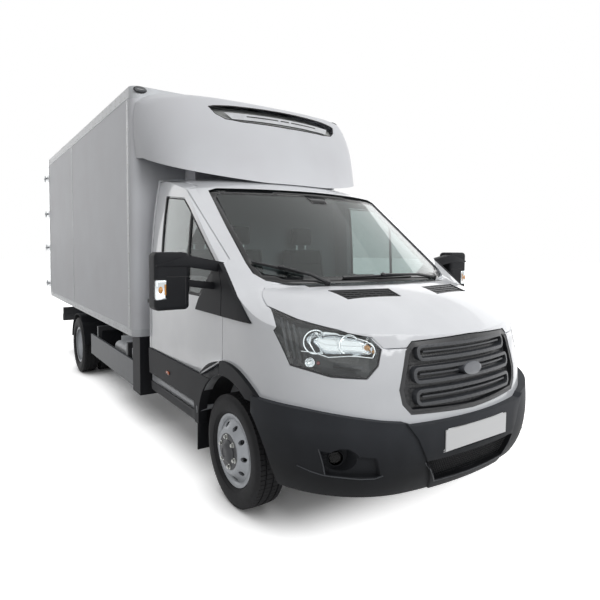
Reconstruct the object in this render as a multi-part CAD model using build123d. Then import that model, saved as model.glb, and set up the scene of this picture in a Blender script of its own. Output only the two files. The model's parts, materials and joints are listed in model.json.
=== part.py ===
"""Refrigerated box truck on a chassis cab with twin rear wheels, in millimetres.

The truck faces -Y, its left side is +X and +Z is up. The model is drawn from the front axle: y = 0 is
the front axle line and z = 0 is the ground. Every piece is moved once, when it is written, so that the
origin of the part is the middle of the footprint of its bounding box.
"""
from build123d import *
from functools import cache
from math import cos, hypot, pi, radians, sin, sqrt
import os

# ---------------------------------------------------------------- driving sizes
# Whole vehicle
wheelbase = 3954.0
front_overhang = 1023.0
tyre_radius = 342.0
shut_gap = 6.0           # gap round doors and bonnet
pin_gap = 0.5            # running gap at pins and shafts
seat_gap = 0.3           # gap between a piece and what it rests on

# Cab
cab_rear = 1390.0
cab_wall = 60.0
cab_low = 300.0
floor_top = 690.0
floor_thickness = 50.0
bulkhead_y = 280.0
bulkhead_thickness = 40.0
bulkhead_top = 1240.0
wing_inner = 560.0       # inner wing panel, from the centre line
wing_thickness = 10.0
glass = 5.0
glass_inset = 9.0

# Wheels
rim_plane_front = 956.0
rim_plane_rear = 1056.0
rim_width = 150.0
bead_radius = 203.0
flange_radius = 220.0
rim_wall = 8.0
rim_lip = 7.0            # thickness of the rim flanges
disc_rise = 34.0         # mounting face past the flange plane
tyre_width = 195.0
tread_width = 160.0
twin_spacing = 225.0
hub_radius = 62.0
spindle_radius = 32.0
rim_holes = 10
rim_hole_radius = 15.0
rim_hole_circle = 158.0

# Steering
kingpin_low_x = 800.0
kingpin_low_z = 190.0
kingpin_top_x = 680.0
kingpin_top_z = 900.0

# Frame
rail_x = 380.0
rail_width = 70.0
rail_height = 150.0
rail_top = 760.0
rail_front = -760.0
rail_rear = 5760.0
rail_front_low = 450.0
rail_front_high = 590.0

# Load box
box_front = 1527.0
box_length = 4390.0
box_half = 1100.0
box_bottom = 810.0
box_top = 2907.0
box_wall = 60.0
box_rail = 62.0          # height of the lower side rail
box_floor = 100.0
box_roof = 80.0
roof_rail = 100.0        # height of the upper edge rail
corner_radius = 75.0
portal_depth = 80.0
door_thickness = 60.0
door_seal = 6.0
hinge_barrel = 11.0
hinge_pin = 5.0

# Places worked out from the sizes above
axle_z = tyre_radius
rear_axle_y = wheelbase
box_rear = box_front + box_length
rear_door_front = box_rear + door_seal
rear_door_rear = rear_door_front + door_thickness
strap = 8.0
hinge_y = rear_door_rear + hinge_barrel
hinge_x = box_half + hinge_barrel + 22.0
lock_bar_radius = 14.0
lock_bar_y = rear_door_rear + lock_bar_radius + 10.0
overall_front = -front_overhang
overall_rear = lock_bar_y + lock_bar_radius
middle_y = (overall_front + overall_rear)/2
arch_y = -30.0
arch_z = 372.0
arch_radius = 440.0
lip_radius = 525.0
liner_radius = 456.0


# ---------------------------------------------------------------- small helpers
def block(x0, x1, y0, y1, z0, z1):
    """A box between two corners."""
    return Pos((x0 + x1)/2, (y0 + y1)/2, (z0 + z1)/2) * Box(x1 - x0, y1 - y0, z1 - z0)


def outline(points, radius=0.0):
    """A flat face inside a closed run of points, with its corners rounded."""
    if radius:
        return make_face(FilletPolyline(*points, radius=radius, close=True))
    return make_face(Polyline(*points, close=True))


def slab_x(points, x0, x1, radius=0.0):
    """Points are (y, z); the slab runs from x0 to x1."""
    return Pos(x0, 0, 0) * extrude(Plane.YZ * outline(points, radius), x1 - x0)


def slab_y(points, y0, y1, radius=0.0):
    """Points are (x, z); the slab runs from y0 to y1."""
    return Pos(0, y1, 0) * extrude(Plane.XZ * outline(points, radius), y1 - y0)


def slab_z(points, z0, z1, radius=0.0):
    """Points are (x, y); the slab runs from z0 to z1."""
    return Pos(0, 0, z0) * extrude(outline(points, radius), z1 - z0)


def rod(start, end, radius, bore=0.0):
    """A round bar or tube between two points."""
    a = Vector(*start)
    b = Vector(*end)
    plane = Plane(origin=a, z_dir=b - a)
    section = Circle(radius)
    if bore:
        section = section - Circle(bore)
    return extrude(plane * section, (b - a).length)


def other_side(solid):
    """The mirror image of a solid on the other side of the vehicle."""
    return mirror(solid, about=Plane.YZ)


def turned(points, plane_x=0.0):
    """A ring about the wheel's axle: points are (distance along X, radius) in a closed run."""
    face = make_face(Polyline(*points, close=True))
    return revolve(face, axis=Axis.X)


def save(name, *solids):
    """Write one sub-part, moved so that y is measured from the middle of the length."""
    placed = []
    for solid in solids:
        for piece in solid.solids():
            placed.append(Pos(0, -middle_y, 0) * piece)
    shape = placed[0] if len(placed) == 1 else Compound(placed)
    export_step(shape, f"parts/{name}.step")
    return shape


# ---------------------------------------------------------------- body forms
# Level sections of the cab: height, front at the centre line, half width, radius of the front,
# radius of the front corners
cab_levels = [
    (cab_low, -965, 985, 1800, 700),
    (860, -978, 1006, 1800, 736),
    (1140, -930, 1004, 1700, 740),
    (1600, -800, 984, 1600, 740),
    (2230, -600, 893, 1500, 740),
]
# Lengthwise lines of the cab: distance from the centre line, then (y, z) of the nose, the middle of the
# bonnet, the rear of the bonnet, the top of the windscreen, the middle of the roof, the rear of the roof
cab_lines = [
    (0, (-1060, 1010), (-600, 1297), (-340, 1360), (520, 2022), (900, 2128), (cab_rear, 2168)),
    (560, (-1030, 978), (-560, 1280), (-258, 1350), (602, 2014), (960, 2112), (cab_rear, 2156)),
    (850, (-940, 940), (-470, 1215), (-150, 1335), (715, 2000), (1030, 2078), (cab_rear, 2136)),
    (1040, (-900, 810), (-430, 1070), (-150, 1275), (790, 1980), (1080, 2040), (cab_rear, 2095)),
]
bumper_levels = [
    (320, -945, 965, 2400, 640),
    (430, -995, 1008, 2500, 690),
    (580, -1011, 1030, 2600, 700),
    (810, -1003, 1032, 2400, 710),
]
# The air fairing over the cab, with the same columns as the cab
fairing_levels = [
    (2040, 640, 1000, 1500, 520),
    (2400, 784, 1072, 1600, 560),
    (2640, 885, 1085, 1700, 600),
    (2780, 985, 1085, 1700, 600),
    (2960, 1150, 1080, 1700, 600),
]
fairing_run_on = 500.0   # how far the fairing's level sections run on behind its root
fairing_lines = [
    (0, (640, 2560), (1050, 2775), (box_front, box_top)),
    (600, (640, 2520), (1050, 2755), (box_front, 2898)),
    (900, (700, 2450), (1080, 2690), (box_front, 2862)),
    (1100, (800, 2350), (1150, 2560), (box_front, 2730)),
]
# How far each point of a cab line moves for each mm of inset: (y, z)
line_shift = [(0, -1.3), (0, -1.08), (0.38, -1.0), (0.38, -1.0), (0, -1.0), (0, -1.0)]


def level_section(level, rear, inset):
    """A level section with a curved front, two round front corners and straight sides."""
    height, front, half, front_radius, corner = level
    front = front + inset
    half = half - inset
    front_radius = front_radius - inset
    corner = corner - inset
    reach = sqrt((front_radius - corner)**2 - (half - corner)**2)
    corner_y = front + front_radius - reach
    join_x = front_radius*(half - corner)/(front_radius - corner)
    join_y = front + front_radius - front_radius*reach/(front_radius - corner)
    turn_x = (half - corner)/(front_radius - corner) + 1
    turn_y = -reach/(front_radius - corner)
    turn = hypot(turn_x, turn_y)
    mid = (half - corner + corner*turn_x/turn, corner_y + corner*turn_y/turn)
    edges = [
        Line((half, rear), (half, corner_y)),
        ThreePointArc((half, corner_y), mid, (join_x, join_y)),
        ThreePointArc((join_x, join_y), (0, front), (-join_x, join_y)),
        ThreePointArc((-join_x, join_y), (-mid[0], mid[1]), (-half, corner_y)),
        Line((-half, corner_y), (-half, rear)),
        Line((-half, rear), (half, rear)),
    ]
    return Pos(0, 0, height) * make_face(Wire(edges))


def both_ways(lines):
    """The table of lengthwise lines from the right side across the centre to the left."""
    right = [(-line[0], *line[1:]) for line in reversed(lines[1:])]
    return right + list(lines)


def cab_line_section(line, bottom, inset):
    """A lengthwise section: bonnet arc, straight windscreen, roof arc and a square underside."""
    moved = []
    for (y, z), (shift_y, shift_z) in zip(line[1:], line_shift):
        moved.append((y + shift_y*inset, z + shift_z*inset))
    nose, bonnet_mid, bonnet_rear, screen_top, roof_mid, roof_rear = moved
    edges = [
        Line((nose[0], bottom), (roof_rear[0], bottom)),
        Line((roof_rear[0], bottom), roof_rear),
        ThreePointArc(roof_rear, roof_mid, screen_top),
        Line(screen_top, bonnet_rear),
        ThreePointArc(bonnet_rear, bonnet_mid, nose),
        Line(nose, (nose[0], bottom)),
    ]
    return Pos(line[0], 0, 0) * (Plane.YZ * make_face(Wire(edges)))


def fairing_line_section(line, bottom, inset):
    """A lengthwise section of the fairing under its top arc."""
    front, top_mid, rear = [(y, z - inset) for y, z in line[1:]]
    edges = [
        Line((front[0], bottom), (rear[0], bottom)),
        Line((rear[0], bottom), rear),
        ThreePointArc(rear, top_mid, front),
        Line(front, (front[0], bottom)),
    ]
    return Pos(line[0], 0, 0) * (Plane.YZ * make_face(Wire(edges)))


@cache
def cab_form(inset):
    """The cab's outer form, drawn in by inset all round; its rear and underside stay."""
    levels = loft([level_section(level, cab_rear, inset) for level in cab_levels])
    lines = loft([cab_line_section(line, cab_low - 50, inset) for line in both_ways(cab_lines)])
    return levels & lines


@cache
def bumper_form(inset):
    """The bumper's outer form, drawn in by inset."""
    return loft([level_section(level, 0.0, inset) for level in bumper_levels])


@cache
def fairing_form(inset):
    """The fairing's outer form, drawn in by inset."""
    rear = box_front + fairing_run_on
    levels = loft([level_section(level, rear, inset) for level in fairing_levels])
    lines = loft([fairing_line_section(line, 2000, inset) for line in both_ways(fairing_lines)])
    return levels & lines


# ---------------------------------------------------------------- outlines on the cab
# Side view (y, z)
door_front = 50.0
door_rear = 1345.0
door_low = 748.0
door_outline = [
    (door_front, 1330), (110, 1500), (800, 2022), (1005, 2074), (1200, 2096), (door_rear + 40, 2104),
    (door_rear + 40, door_low), (330, door_low), (door_front, 880),
]
window_outline = [(400, 1252), (150, 1478), (640, 1848), (770, 1932), (1145, 1975), (1150, 1252)]
sail_outline = [(-284, 1160), (-171, 1268), (94, 1478), (125, 1480), (380, 1240), (430, 1165)]
bonnet_line = [(-1100, 1062), (-850, 1066), (-815, 1122), (-706, 1157), (-508, 1196), (-302, 1250),
               (-225, 1291), (-150, 1335)]
screen_reach = [(-700, 1340), (0, 1340), (870, 2015), (400, 2100), (-700, 2100)]
# Front view (x, z): half outlines run from the centre line down one side back to the centre line
screen_half = [(0, 2012), (745, 2006), (806, 1985), (833, 1725), (850, 1480), (846, 1420), (800, 1378),
               (683, 1357), (0, 1357)]
headlamp_points = [(899, 1250), (827, 1197), (718, 1157), (610, 1127), (562, 1068), (587, 985), (643, 922),
                   (787, 928), (915, 970), (948, 1140)]
grille_half = [(0, 1108), (395, 1096), (440, 1055), (497, 865), (485, 790), (437, 735), (0, 716)]
bumper_top = [(446, 692), (497, 710), (595, 722), (760, 748), (892, 768), (1100, 780)]
bumper_step = [(505, 850), (500, 712), (434, 628), (366, 491), (290, 300)]
air_inlet_half = [(0, 500), (372, 500), (290, 378), (0, 372)]
fog_pocket = [(862, 575), (832, 451), (613, 447), (642, 548)]
fairing_slot_half = [(0, 2713), (470, 2712), (590, 2704), (632, 2694), (598, 2630), (530, 2590), (400, 2575),
                     (0, 2569)]
# Plan view (x, y)
bonnet_vent = [(150, -478), (545, -392), (524, -541), (157, -596)]
bonnet_back = [(0, -362), (100, -353), (200, -340), (300, -327), (400, -300), (500, -266), (600, -236), (700, -190),
               (770, -158), (840, -128), (840, 200)]

bonnet_depth = 32.0
bonnet_hinge_y = -146.0
bonnet_hinge_z = 1369.0
bumper_wall = 60.0
bumper_step_height = 12.0
bumper_end = -335.0
lip_height = 24.0
clad_height = 12.0
clad_high = 742.0
clad_low = 533.0
clad_strip_high = 460.0
clad_strip_low = 388.0
skin_low = floor_top - floor_thickness
sill_out = 986.0
sill_width = 55.0
sill_low = 400.0
sill_front = 470.0
sail_height = 14.0
lamp_depth = 55.0
lamp_gap = 3.0
hinge_line_x = 1034.0
door_inmost = 825.0
plate_half_width = 262.0
plate_low = 533.0
plate_high = 645.0
plate_thickness = 6.0
fog_x = 774.0
fog_z = 531.0
fog_radius = 62.0


def whole(half):
    """The full front outline from its half, mirrored across the centre line."""
    return list(half) + [(-x, z) for x, z in reversed(half) if x > 0]


def grown(points, amount):
    """A straight-sided outline moved outwards by an amount."""
    return offset(outline(points), amount, kind=Kind.INTERSECTION)


def face_slab_x(face, x0, x1):
    return Pos(x0, 0, 0) * extrude(Plane.YZ * face, x1 - x0)


def face_slab_y(face, y0, y1):
    return Pos(0, y1, 0) * extrude(Plane.XZ * face, y1 - y0)


def pair(solid):
    """A solid and its mirror image."""
    return solid + other_side(solid)


outer = cab_form(0)
inner = cab_form(cab_wall)
inside = cab_form(cab_wall - 2)
lined = cab_form(cab_wall + shut_gap)
everywhere = 1300.0


def door_zone(growth):
    """What a left door fills: its side outline, ended at the rear by the arc its edge swings on."""
    face = grown(door_outline, growth) if growth else outline(door_outline)
    zone = face_slab_x(face, door_inmost, everywhere)
    radius = door_rear - door_front + shut_gap + growth
    swing = Pos(hinge_line_x, door_front - shut_gap, 1400) * Cylinder(radius, 2400)
    return zone & swing


arch_hole = rod((900, arch_y, arch_z), (everywhere, arch_y, arch_z), arch_radius)
lip_disc = rod((900, arch_y, arch_z), (everywhere, arch_y, arch_z), lip_radius)
liner_hole = rod((wing_inner + wing_thickness, 0, axle_z), (cab_wall + 886, 0, axle_z), liner_radius + 5)


def below_bumper_line(drop):
    """Everything under the line where the bumper meets the painted body."""
    lowest = 200
    side = [(x, z - drop) for x, z in bumper_top]
    points = side + [(1100, lowest), (-1100, lowest)] + [(-x, z) for x, z in reversed(side)]
    return slab_y(points, -everywhere, bumper_end - drop)


def screen_zone(growth):
    face = outline(whole(screen_half))
    if growth:
        face = offset(face, growth, kind=Kind.INTERSECTION)
    return face_slab_y(face, -700, 1000) & slab_x(screen_reach, -everywhere, everywhere)


def bonnet_zone(lift):
    points = [(y, z + lift) for y, z in bonnet_line] + [(-150, 1500), (-1100, 1500)]
    return slab_x(points, -everywhere, everywhere)


def front_zone(face, growth=0.0):
    if growth:
        face = offset(face, growth, kind=Kind.INTERSECTION)
    return face_slab_y(face, -1100, -180)


def cab_body():
    """The painted shell, with floor, bulkhead, inner wings and sills, open where others fit."""
    skin = outer & block(-everywhere, everywhere, -everywhere, everywhere + 200, skin_low, 3000)
    front_part = block(-everywhere, everywhere, -everywhere, bumper_end, 0, skin_low + 5)
    skin = skin.cut(
        inner & block(-everywhere, everywhere, -everywhere, cab_rear - cab_wall, 0, 3000),
        screen_zone(0),
        bonnet_zone(0) - cab_form(bonnet_depth + shut_gap),
        bonnet_zone(0) & block(-everywhere, everywhere, -everywhere, -430, 0, 3000),
        front_zone(outline(headlamp_points)),
        other_side(front_zone(outline(headlamp_points))),
        front_zone(outline(whole(grille_half))),
        below_bumper_line(0),
        front_part,
        arch_hole,
        other_side(arch_hole),
    )

    bulkhead = block(-1000, 1000, bulkhead_y, bulkhead_y + bulkhead_thickness, skin_low, bulkhead_top)
    floor = block(-1000, 1000, bulkhead_y, cab_rear - 20, skin_low, floor_top)
    fittings = bulkhead + floor
    for side in (-1, 1):
        x0, x1 = sorted((side*wing_inner, side*1000))
        fittings = fittings + block(x0, x1, bulkhead_y, 500, wheelhouse_low, floor_top)
        x0, x1 = sorted((side*wing_inner, side*(wing_inner + wing_thickness)))
        fittings = fittings + block(x0, x1, -640, bulkhead_y + 5, wheelhouse_low, 1060)
        x0, x1 = sorted((side*wing_inner, side*790))
        fittings = fittings + block(x0, x1, -90, bulkhead_y + 5, tower_low, tower_low + 12)
        x0, x1 = sorted((side*(sill_out - sill_width), side*sill_out))
        sill = block(x0, x1, sill_front, cab_rear, sill_low, skin_low + 10)
        skin = skin + sill
    fittings = (fittings & inside) - pair(liner_hole)
    opening = door_zone(shut_gap) - lined
    return (skin + fittings).cut(opening, other_side(opening))


tower_low = kingpin_top_z + 12
wheelhouse_low = 480.0


def bonnet():
    """The bonnet skin, trimmed round the grille and windscreen, with two air vents."""
    panel = (outer - cab_form(bonnet_depth)) & bonnet_zone(shut_gap)
    panel = panel - screen_zone(shut_gap)
    panel = panel - slab_z(bonnet_back + [(-x, y) for x, y in reversed(bonnet_back)], 0, 3000)
    panel = panel - front_zone(outline(whole(grille_half)), shut_gap)
    for vent in (bonnet_vent, [(-x, y) for x, y in bonnet_vent]):
        panel = panel - slab_z(vent, 1200, 1500)
    return panel


@cache
def door():
    """The left door, as thick as the cab wall, with the rear end of the arch lip on it."""
    zone = door_zone(0)
    lip = cab_form(-lip_height) & (lip_disc & zone)
    return ((zone & outer) + lip).cut(inner, arch_hole, slab_x(window_outline, door_inmost, everywhere))


def pane(zone):
    """Curved glass that follows the cab inside a zone."""
    return (zone & cab_form(glass_inset)) - cab_form(glass_inset + glass)


def bumper():
    """The dark bumper with its proud middle, air inlet, fog lamp pockets and flat place for a plate."""
    step = [(x, z) for x, z in bumper_step]
    proud = slab_y(step + [(-x, z) for x, z in reversed(step)], -everywhere, -500)
    form = bumper_form(0) + (bumper_form(-bumper_step_height) & proud)
    form = form & below_bumper_line(seat_gap)
    form = form - (bumper_form(bumper_wall) & block(-everywhere, everywhere, -everywhere, 10, 0, 2000))
    form = form - pair(rod((wing_inner, arch_y, arch_z), (everywhere, arch_y, arch_z), arch_radius))
    form = form - slab_y(whole(air_inlet_half), -1100, -700)
    for side in (-1, 1):
        pocket = slab_y([(side*x, z) for x, z in fog_pocket], -1100, -500)
        form = form - (pocket - bumper_form(fog_pocket_depth))
        form = form - rod((side*fog_x, -1100, fog_z), (side*fog_x, -500, fog_z), fog_radius + lamp_gap)
    recess = block(-plate_half_width - 4, plate_half_width + 4, -1100, plate_seat, plate_low - 4, plate_high + 4)
    return form - recess


fog_pocket_depth = 24.0
plate_seat = -front_overhang + 13.0


def grille():
    """A back plate, three rounded loops and an outer frame, with a plain oval boss in the middle."""
    area = offset(outline(whole(grille_half)), -seat_gap, kind=Kind.INTERSECTION)
    frame = area - offset(area, -grille_frame, kind=Kind.INTERSECTION)
    loops = None
    for z, half, height in grille_loops:
        hole = height - 2*grille_bar
        loop = RectangleRounded(2*half, height, height*0.42)
        loop = Pos(0, z) * (loop - RectangleRounded(2*half - 2*grille_bar, hole, hole*0.42))
        loops = loop if loops is None else loops + loop
    boss = Pos(0, grille_badge_z) * Ellipse(74, 34)
    # face, and how far its front is drawn in from the cab's form
    layers = [(frame, grille_front), (area, grille_back), (loops, grille_front - 2), (boss, -8)]
    body = None
    for face, front in layers:
        layer = face_slab_y(face, -1100, -700) & cab_form(front)
        body = layer if body is None else body + layer
    return body - cab_form(grille_front + grille_depth)


grille_frame = 26.0
grille_front = 4.0
grille_depth = 44.0
grille_back = 34.0
grille_bar = 17.0
grille_badge_z = 930.0
# height of the middle, half width, overall height of each loop
grille_loops = [(1038, 372, 84), (926, 405, 84), (814, 400, 84)]


@cache
def mirror_unit():
    """The left mirror: black sail on the door, two arms and a tall head."""
    sail = (cab_form(-sail_height) - outer) & slab_x(sail_outline, 700, everywhere)
    sail = sail & door_zone(0)
    head = block(mirror_in, mirror_out, mirror_y, mirror_y + mirror_depth, mirror_low, mirror_high)
    head = fillet(head.edges(), mirror_round)
    unit = sail + head
    for z_door, y_door, z_head in mirror_arms:
        arm = rod((900, y_door, z_door), (mirror_in + 30, mirror_y + mirror_depth/2, z_head), mirror_arm)
        unit = unit + (arm - outer)
    return unit


def sail_front():
    """The fixed front of the sail, on the front wing."""
    sail = (cab_form(-sail_height) - outer) & slab_x(sail_outline, 700, everywhere)
    return sail - door_zone(shut_gap)


mirror_in = 1187.0
mirror_out = 1398.0
mirror_low = 1208.0
mirror_high = 1546.0
mirror_y = 105.0
mirror_depth = 130.0
mirror_round = 28.0
mirror_arm = 19.0
# height and y on the door, height on the head
mirror_arms = [(1452, 150, 1500), (1330, 185, 1365)]


def side_cladding():
    """Left black cladding: arch lip, panel below the door, lower strip, mud flap and sail front."""
    lip = (cab_form(-lip_height) - outer) & (lip_disc - arch_hole)
    lip = lip - below_bumper_line(-seat_gap)
    lip = lip - block(0, everywhere, door_front - shut_gap, 1400, clad_high, 1200)
    lip = lip & block(0, everywhere, -600, 1400, clad_high, 1200)
    wide = cab_form(-clad_height)
    deep = cab_form(cab_wall - 10)
    high = block(900, everywhere, 200, cab_rear, clad_low, clad_high) - arch_hole
    low = block(900, everywhere, 200, cab_rear, clad_strip_low, clad_strip_high) - arch_hole
    band = ((wide - deep) & high) - (outer & block(0, everywhere, -1000, 2000, skin_low, 2000))
    strip = (cab_form(0) - deep) & low
    sill = block(0, sill_out, sill_front, cab_rear, sill_low, skin_low + 10)
    flap = block(flap_in, flap_out, flap_y, flap_y + flap_thickness, flap_low, wheelhouse_low - seat_gap)
    front = block(900, everywhere, 200, sill_front, clad_strip_low, clad_low + 1) - arch_hole
    front = (wide - deep) & front
    return [band - sill + front + (strip - sill) + flap, lip, sail_front()]


flap_in = 800.0
flap_out = 985.0
flap_y = 461.5
flap_thickness = 8.0
flap_low = 190.0


def arch_liner():
    """The left liner, an open ring over the front wheel."""
    ring = rod((770, 0, axle_z), (cab_wall + 880, 0, axle_z), liner_radius + 4.7, liner_radius)
    ring = ring & block(0, everywhere, -1000, 1000, 440, 1000)
    return ring & cab_form(cab_wall + 1)


def dashboard():
    """The dashboard on top of the bulkhead, with a bore for the steering shaft."""
    profile = [(-130, bulkhead_top + seat_gap), (-130, 1262), (150, 1310), (420, 1290), (505, 1180), (490, 1090),
               (400, 930), (bulkhead_y + bulkhead_thickness + seat_gap, 930),
               (bulkhead_y + bulkhead_thickness + seat_gap, bulkhead_top + seat_gap)]
    body = slab_x(profile, -930, 930) & cab_form(cab_wall + 8)
    body = body - pair(door_zone(shut_gap) - cab_form(cab_wall + shut_gap + 4))
    start, end = steering_line(-140), steering_line(260)
    return body - rod(start, end, steering_shaft + 2)


steer_x = 430.0
steer_y = 610.0
steer_z = 1190.0
steer_tilt = 32.0        # degrees of the column above the horizontal
steer_radius = 190.0
steer_rim = 15.0
steering_shaft = 14.0


def steering_line(distance):
    """A point on the steering column, a distance ahead of the steering wheel's middle."""
    return (steer_x, steer_y - distance*cos(radians(steer_tilt)), steer_z - distance*sin(radians(steer_tilt)))


def steering_wheel():
    """Rim, three spokes, hub and shaft, turning about the column."""
    along = Vector(0, -cos(radians(steer_tilt)), -sin(radians(steer_tilt)))
    plane = Plane(origin=(steer_x, steer_y, steer_z), x_dir=(1, 0, 0), z_dir=along)
    wheel = plane * Torus(steer_radius, steer_rim)
    wheel = wheel + rod(steering_line(-12), steering_line(30), 62)
    wheel = wheel + rod(steering_line(25), steering_line(185), steering_shaft)
    for angle in (0, 180, 90):
        spoke = Rot(0, 0, angle) * Pos(steer_radius/2, 0, 6) * Box(steer_radius, 34, 12)
        wheel = wheel + plane * spoke
    return wheel


def seat(x, width, heads):
    """A seat: base, cushion, leaning back and head rests."""
    half = width/2
    parts = block(x - half + 30, x + half - 30, 720, 1120, floor_top + seat_gap, 880)
    cushion = fillet(block(x - half, x + half, 660, 1150, 870, 1010).edges(), 40)
    back = slab_x([(1060, 960), (1170, 940), (1290, 1580), (1190, 1590)], x - half + 10, x + half - 10, 30)
    parts = parts + cushion + back
    for head_x in heads:
        parts = parts + fillet(block(head_x - 125, head_x + 125, 1200, 1300, 1590, 1780).edges(), 35)
        parts = parts + rod((head_x - 50, 1250, 1540), (head_x - 50, 1250, 1640), 8)
        parts = parts + rod((head_x + 50, 1250, 1540), (head_x + 50, 1250, 1640), 8)
    return parts


def lamp_units():
    """Headlamps that fill their openings and round fog lamps in the bumper."""
    units = (front_zone(outline(headlamp_points), -lamp_gap) & outer) - cab_form(lamp_depth)
    units = units - bonnet_zone(lamp_gap)
    fog = rod((fog_x, -1100, fog_z), (fog_x, -500, fog_z), fog_radius)
    fog = fog & (bumper_form(10) - bumper_form(cab_wall + 15))
    return [units, other_side(units), fog, other_side(fog)]


# ---------------------------------------------------------------- wheels and axles
def tyre(middle_x):
    """A tyre about the X axis with three grooves round its tread."""
    half = tyre_width/2
    half_tread = tread_width/2
    bead_half = rim_width/2 - rim_lip - seat_gap
    bead_low = bead_radius + seat_gap
    section = [
        Line((-bead_half, bead_low), (bead_half, bead_low)),
        Line((bead_half, bead_low), (bead_half, flange_radius + 1)),
        ThreePointArc((bead_half, flange_radius + 1), (half, 0.5*(bead_radius + tyre_radius)),
                      (half_tread, tyre_radius - 9)),
        Line((half_tread, tyre_radius - 9), (half_tread - 12, tyre_radius)),
    ]
    top = []
    last = (half_tread - 12, tyre_radius)
    for groove_x in (44, 0, -44):
        for corner in ((groove_x + 4, tyre_radius), (groove_x + 4, tyre_radius - 8),
                       (groove_x - 4, tyre_radius - 8), (groove_x - 4, tyre_radius)):
            top.append(Line(last, corner))
            last = corner
    top.append(Line(last, (12 - half_tread, tyre_radius)))
    section = section + top + [
        Line((12 - half_tread, tyre_radius), (-half_tread, tyre_radius - 9)),
        ThreePointArc((-half_tread, tyre_radius - 9), (-half, 0.5*(bead_radius + tyre_radius)),
                      (-bead_half, flange_radius + 1)),
        Line((-bead_half, flange_radius + 1), (-bead_half, bead_low)),
    ]
    return Pos(middle_x, 0, 0) * revolve(make_face(Wire(section)), axis=Axis.X)


def barrel(plane_x, inward):
    """A rim barrel with two flanges; plane_x is the outer flange and inward points to the other."""
    far = plane_x + inward*rim_width
    lip = rim_lip*inward
    well = 46.0*inward
    points = [
        (plane_x, flange_radius), (plane_x + lip, flange_radius), (plane_x + lip, bead_radius),
        (plane_x + well, bead_radius), (plane_x + well*1.25, bead_radius - 16),
        (far - well*1.25, bead_radius - 16), (far - well, bead_radius), (far - lip, bead_radius),
        (far - lip, flange_radius), (far, flange_radius), (far, bead_radius - rim_wall),
        (far - well*0.9, bead_radius - rim_wall), (far - well*1.15, bead_radius - 16 - rim_wall),
        (plane_x + well*1.15, bead_radius - 16 - rim_wall), (plane_x + well*0.9, bead_radius - rim_wall),
        (plane_x, bead_radius - rim_wall),
    ]
    return turned(points)


def wheel_disc(face_x, outward):
    """A dished disc: a flat mounting face, a ring with round holes and a skirt out to the barrel."""
    # distance back from the mounting face, radius
    profile = [(0, 40), (0, 112), (-4, 128), (6, 142), (42, 182), (50, bead_radius - 4), (69, bead_radius - 4),
               (69, 186), (52, 178), (16, 136), (8, 118), (8, 40)]
    points = [(face_x - outward*back, radius) for back, radius in profile]
    disc = turned(points)
    for k in range(rim_holes):
        angle = 2*pi*k/rim_holes
        y = rim_hole_circle*cos(angle)
        z = rim_hole_circle*sin(angle)
        disc = disc - rod((face_x - 120, y, z), (face_x + 120, y, z), rim_hole_radius)
    return disc


@cache
def front_rim():
    """The left front wheel's rim, its disc bulging outwards, with hub and brake disc."""
    face = rim_plane_front + disc_rise
    rim = barrel(rim_plane_front, -1) + wheel_disc(face, 1)
    hub_start = knuckle_out + 8
    rim = rim + rod((hub_start, 0, 0), (face - rim_wall, 0, 0), hub_radius + 20)
    rim = rim + rod((face - rim_wall - 1, 0, 0), (face + 14, 0, 0), hub_radius - 8)
    rim = rim + rod((brake_in, 0, 0), (brake_in + 22, 0, 0), 140)
    return rim - rod((hub_start - 30, 0, 0), (face - 60, 0, 0), spindle_radius + pin_gap)


knuckle_out = 838.0
brake_in = 854.0


@cache
def rear_rim():
    """The left twin rims on one hub, their discs face to face, with the brake drum."""
    meet = rim_plane_rear - rim_width/2 - twin_spacing/2
    inner_plane = 2*meet - rim_plane_rear
    rim = barrel(rim_plane_rear, -1) + wheel_disc(meet + rim_wall, -1)
    rim = rim + barrel(inner_plane, 1) + wheel_disc(meet - rim_wall, 1)
    rim = rim + rod((meet - 20, 0, 0), (meet + 84, 0, 0), hub_radius)
    rim = rim + rod((meet - 150, 0, 0), (meet - rim_wall, 0, 0), 150)
    return rim - rod((meet - 200, 0, 0), (meet + 10, 0, 0), spindle_radius + pin_gap)


def placed_wheel(solid, side, axle_y):
    """A left wheel piece put on its axle, on either side."""
    solid = Pos(0, axle_y, axle_z) * solid
    return solid if side > 0 else other_side(solid)


def on_kingpin(z):
    """Distance from the centre line of the steering axis at a height."""
    share = (z - kingpin_low_z)/(kingpin_top_z - kingpin_low_z)
    return kingpin_low_x + share*(kingpin_top_x - kingpin_low_x)


def knuckle():
    """The left steering knuckle: upright, stub axle, steering arm, caliper and strut tube."""
    upright = slab_y([(kingpin_low_x - 22, kingpin_low_z + 14), (kingpin_low_x + 30, kingpin_low_z + 14),
                      (knuckle_out, axle_z - 60), (knuckle_out, axle_z + 60), (on_kingpin(450) + 30, 450),
                      (on_kingpin(450) - 24, 450)], -38, 38)
    body = upright + rod((on_kingpin(axle_z), 0, axle_z), (rim_plane_front + disc_rise - 66, 0, axle_z),
                         spindle_radius)
    body = body + rod((on_kingpin(400), 0, 400), (on_kingpin(strut_split), 0, strut_split), 27)
    body = body + slab_z([(760, 30), (800, 30), (790, 150), (765, 150)], 300, 330)
    body = body + block(800, knuckle_out, 20, 150, 345, 445)
    stud = rod((on_kingpin(kingpin_low_z - 20), 0, kingpin_low_z - 20),
               (on_kingpin(kingpin_low_z + 45), 0, kingpin_low_z + 45), 12 + pin_gap)
    rod_hole = rod((on_kingpin(strut_split - 60), 0, strut_split - 60),
                   (on_kingpin(strut_split + 5), 0, strut_split + 5), 11 + pin_gap)
    return body - stud - rod_hole


strut_split = 640.0


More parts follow.
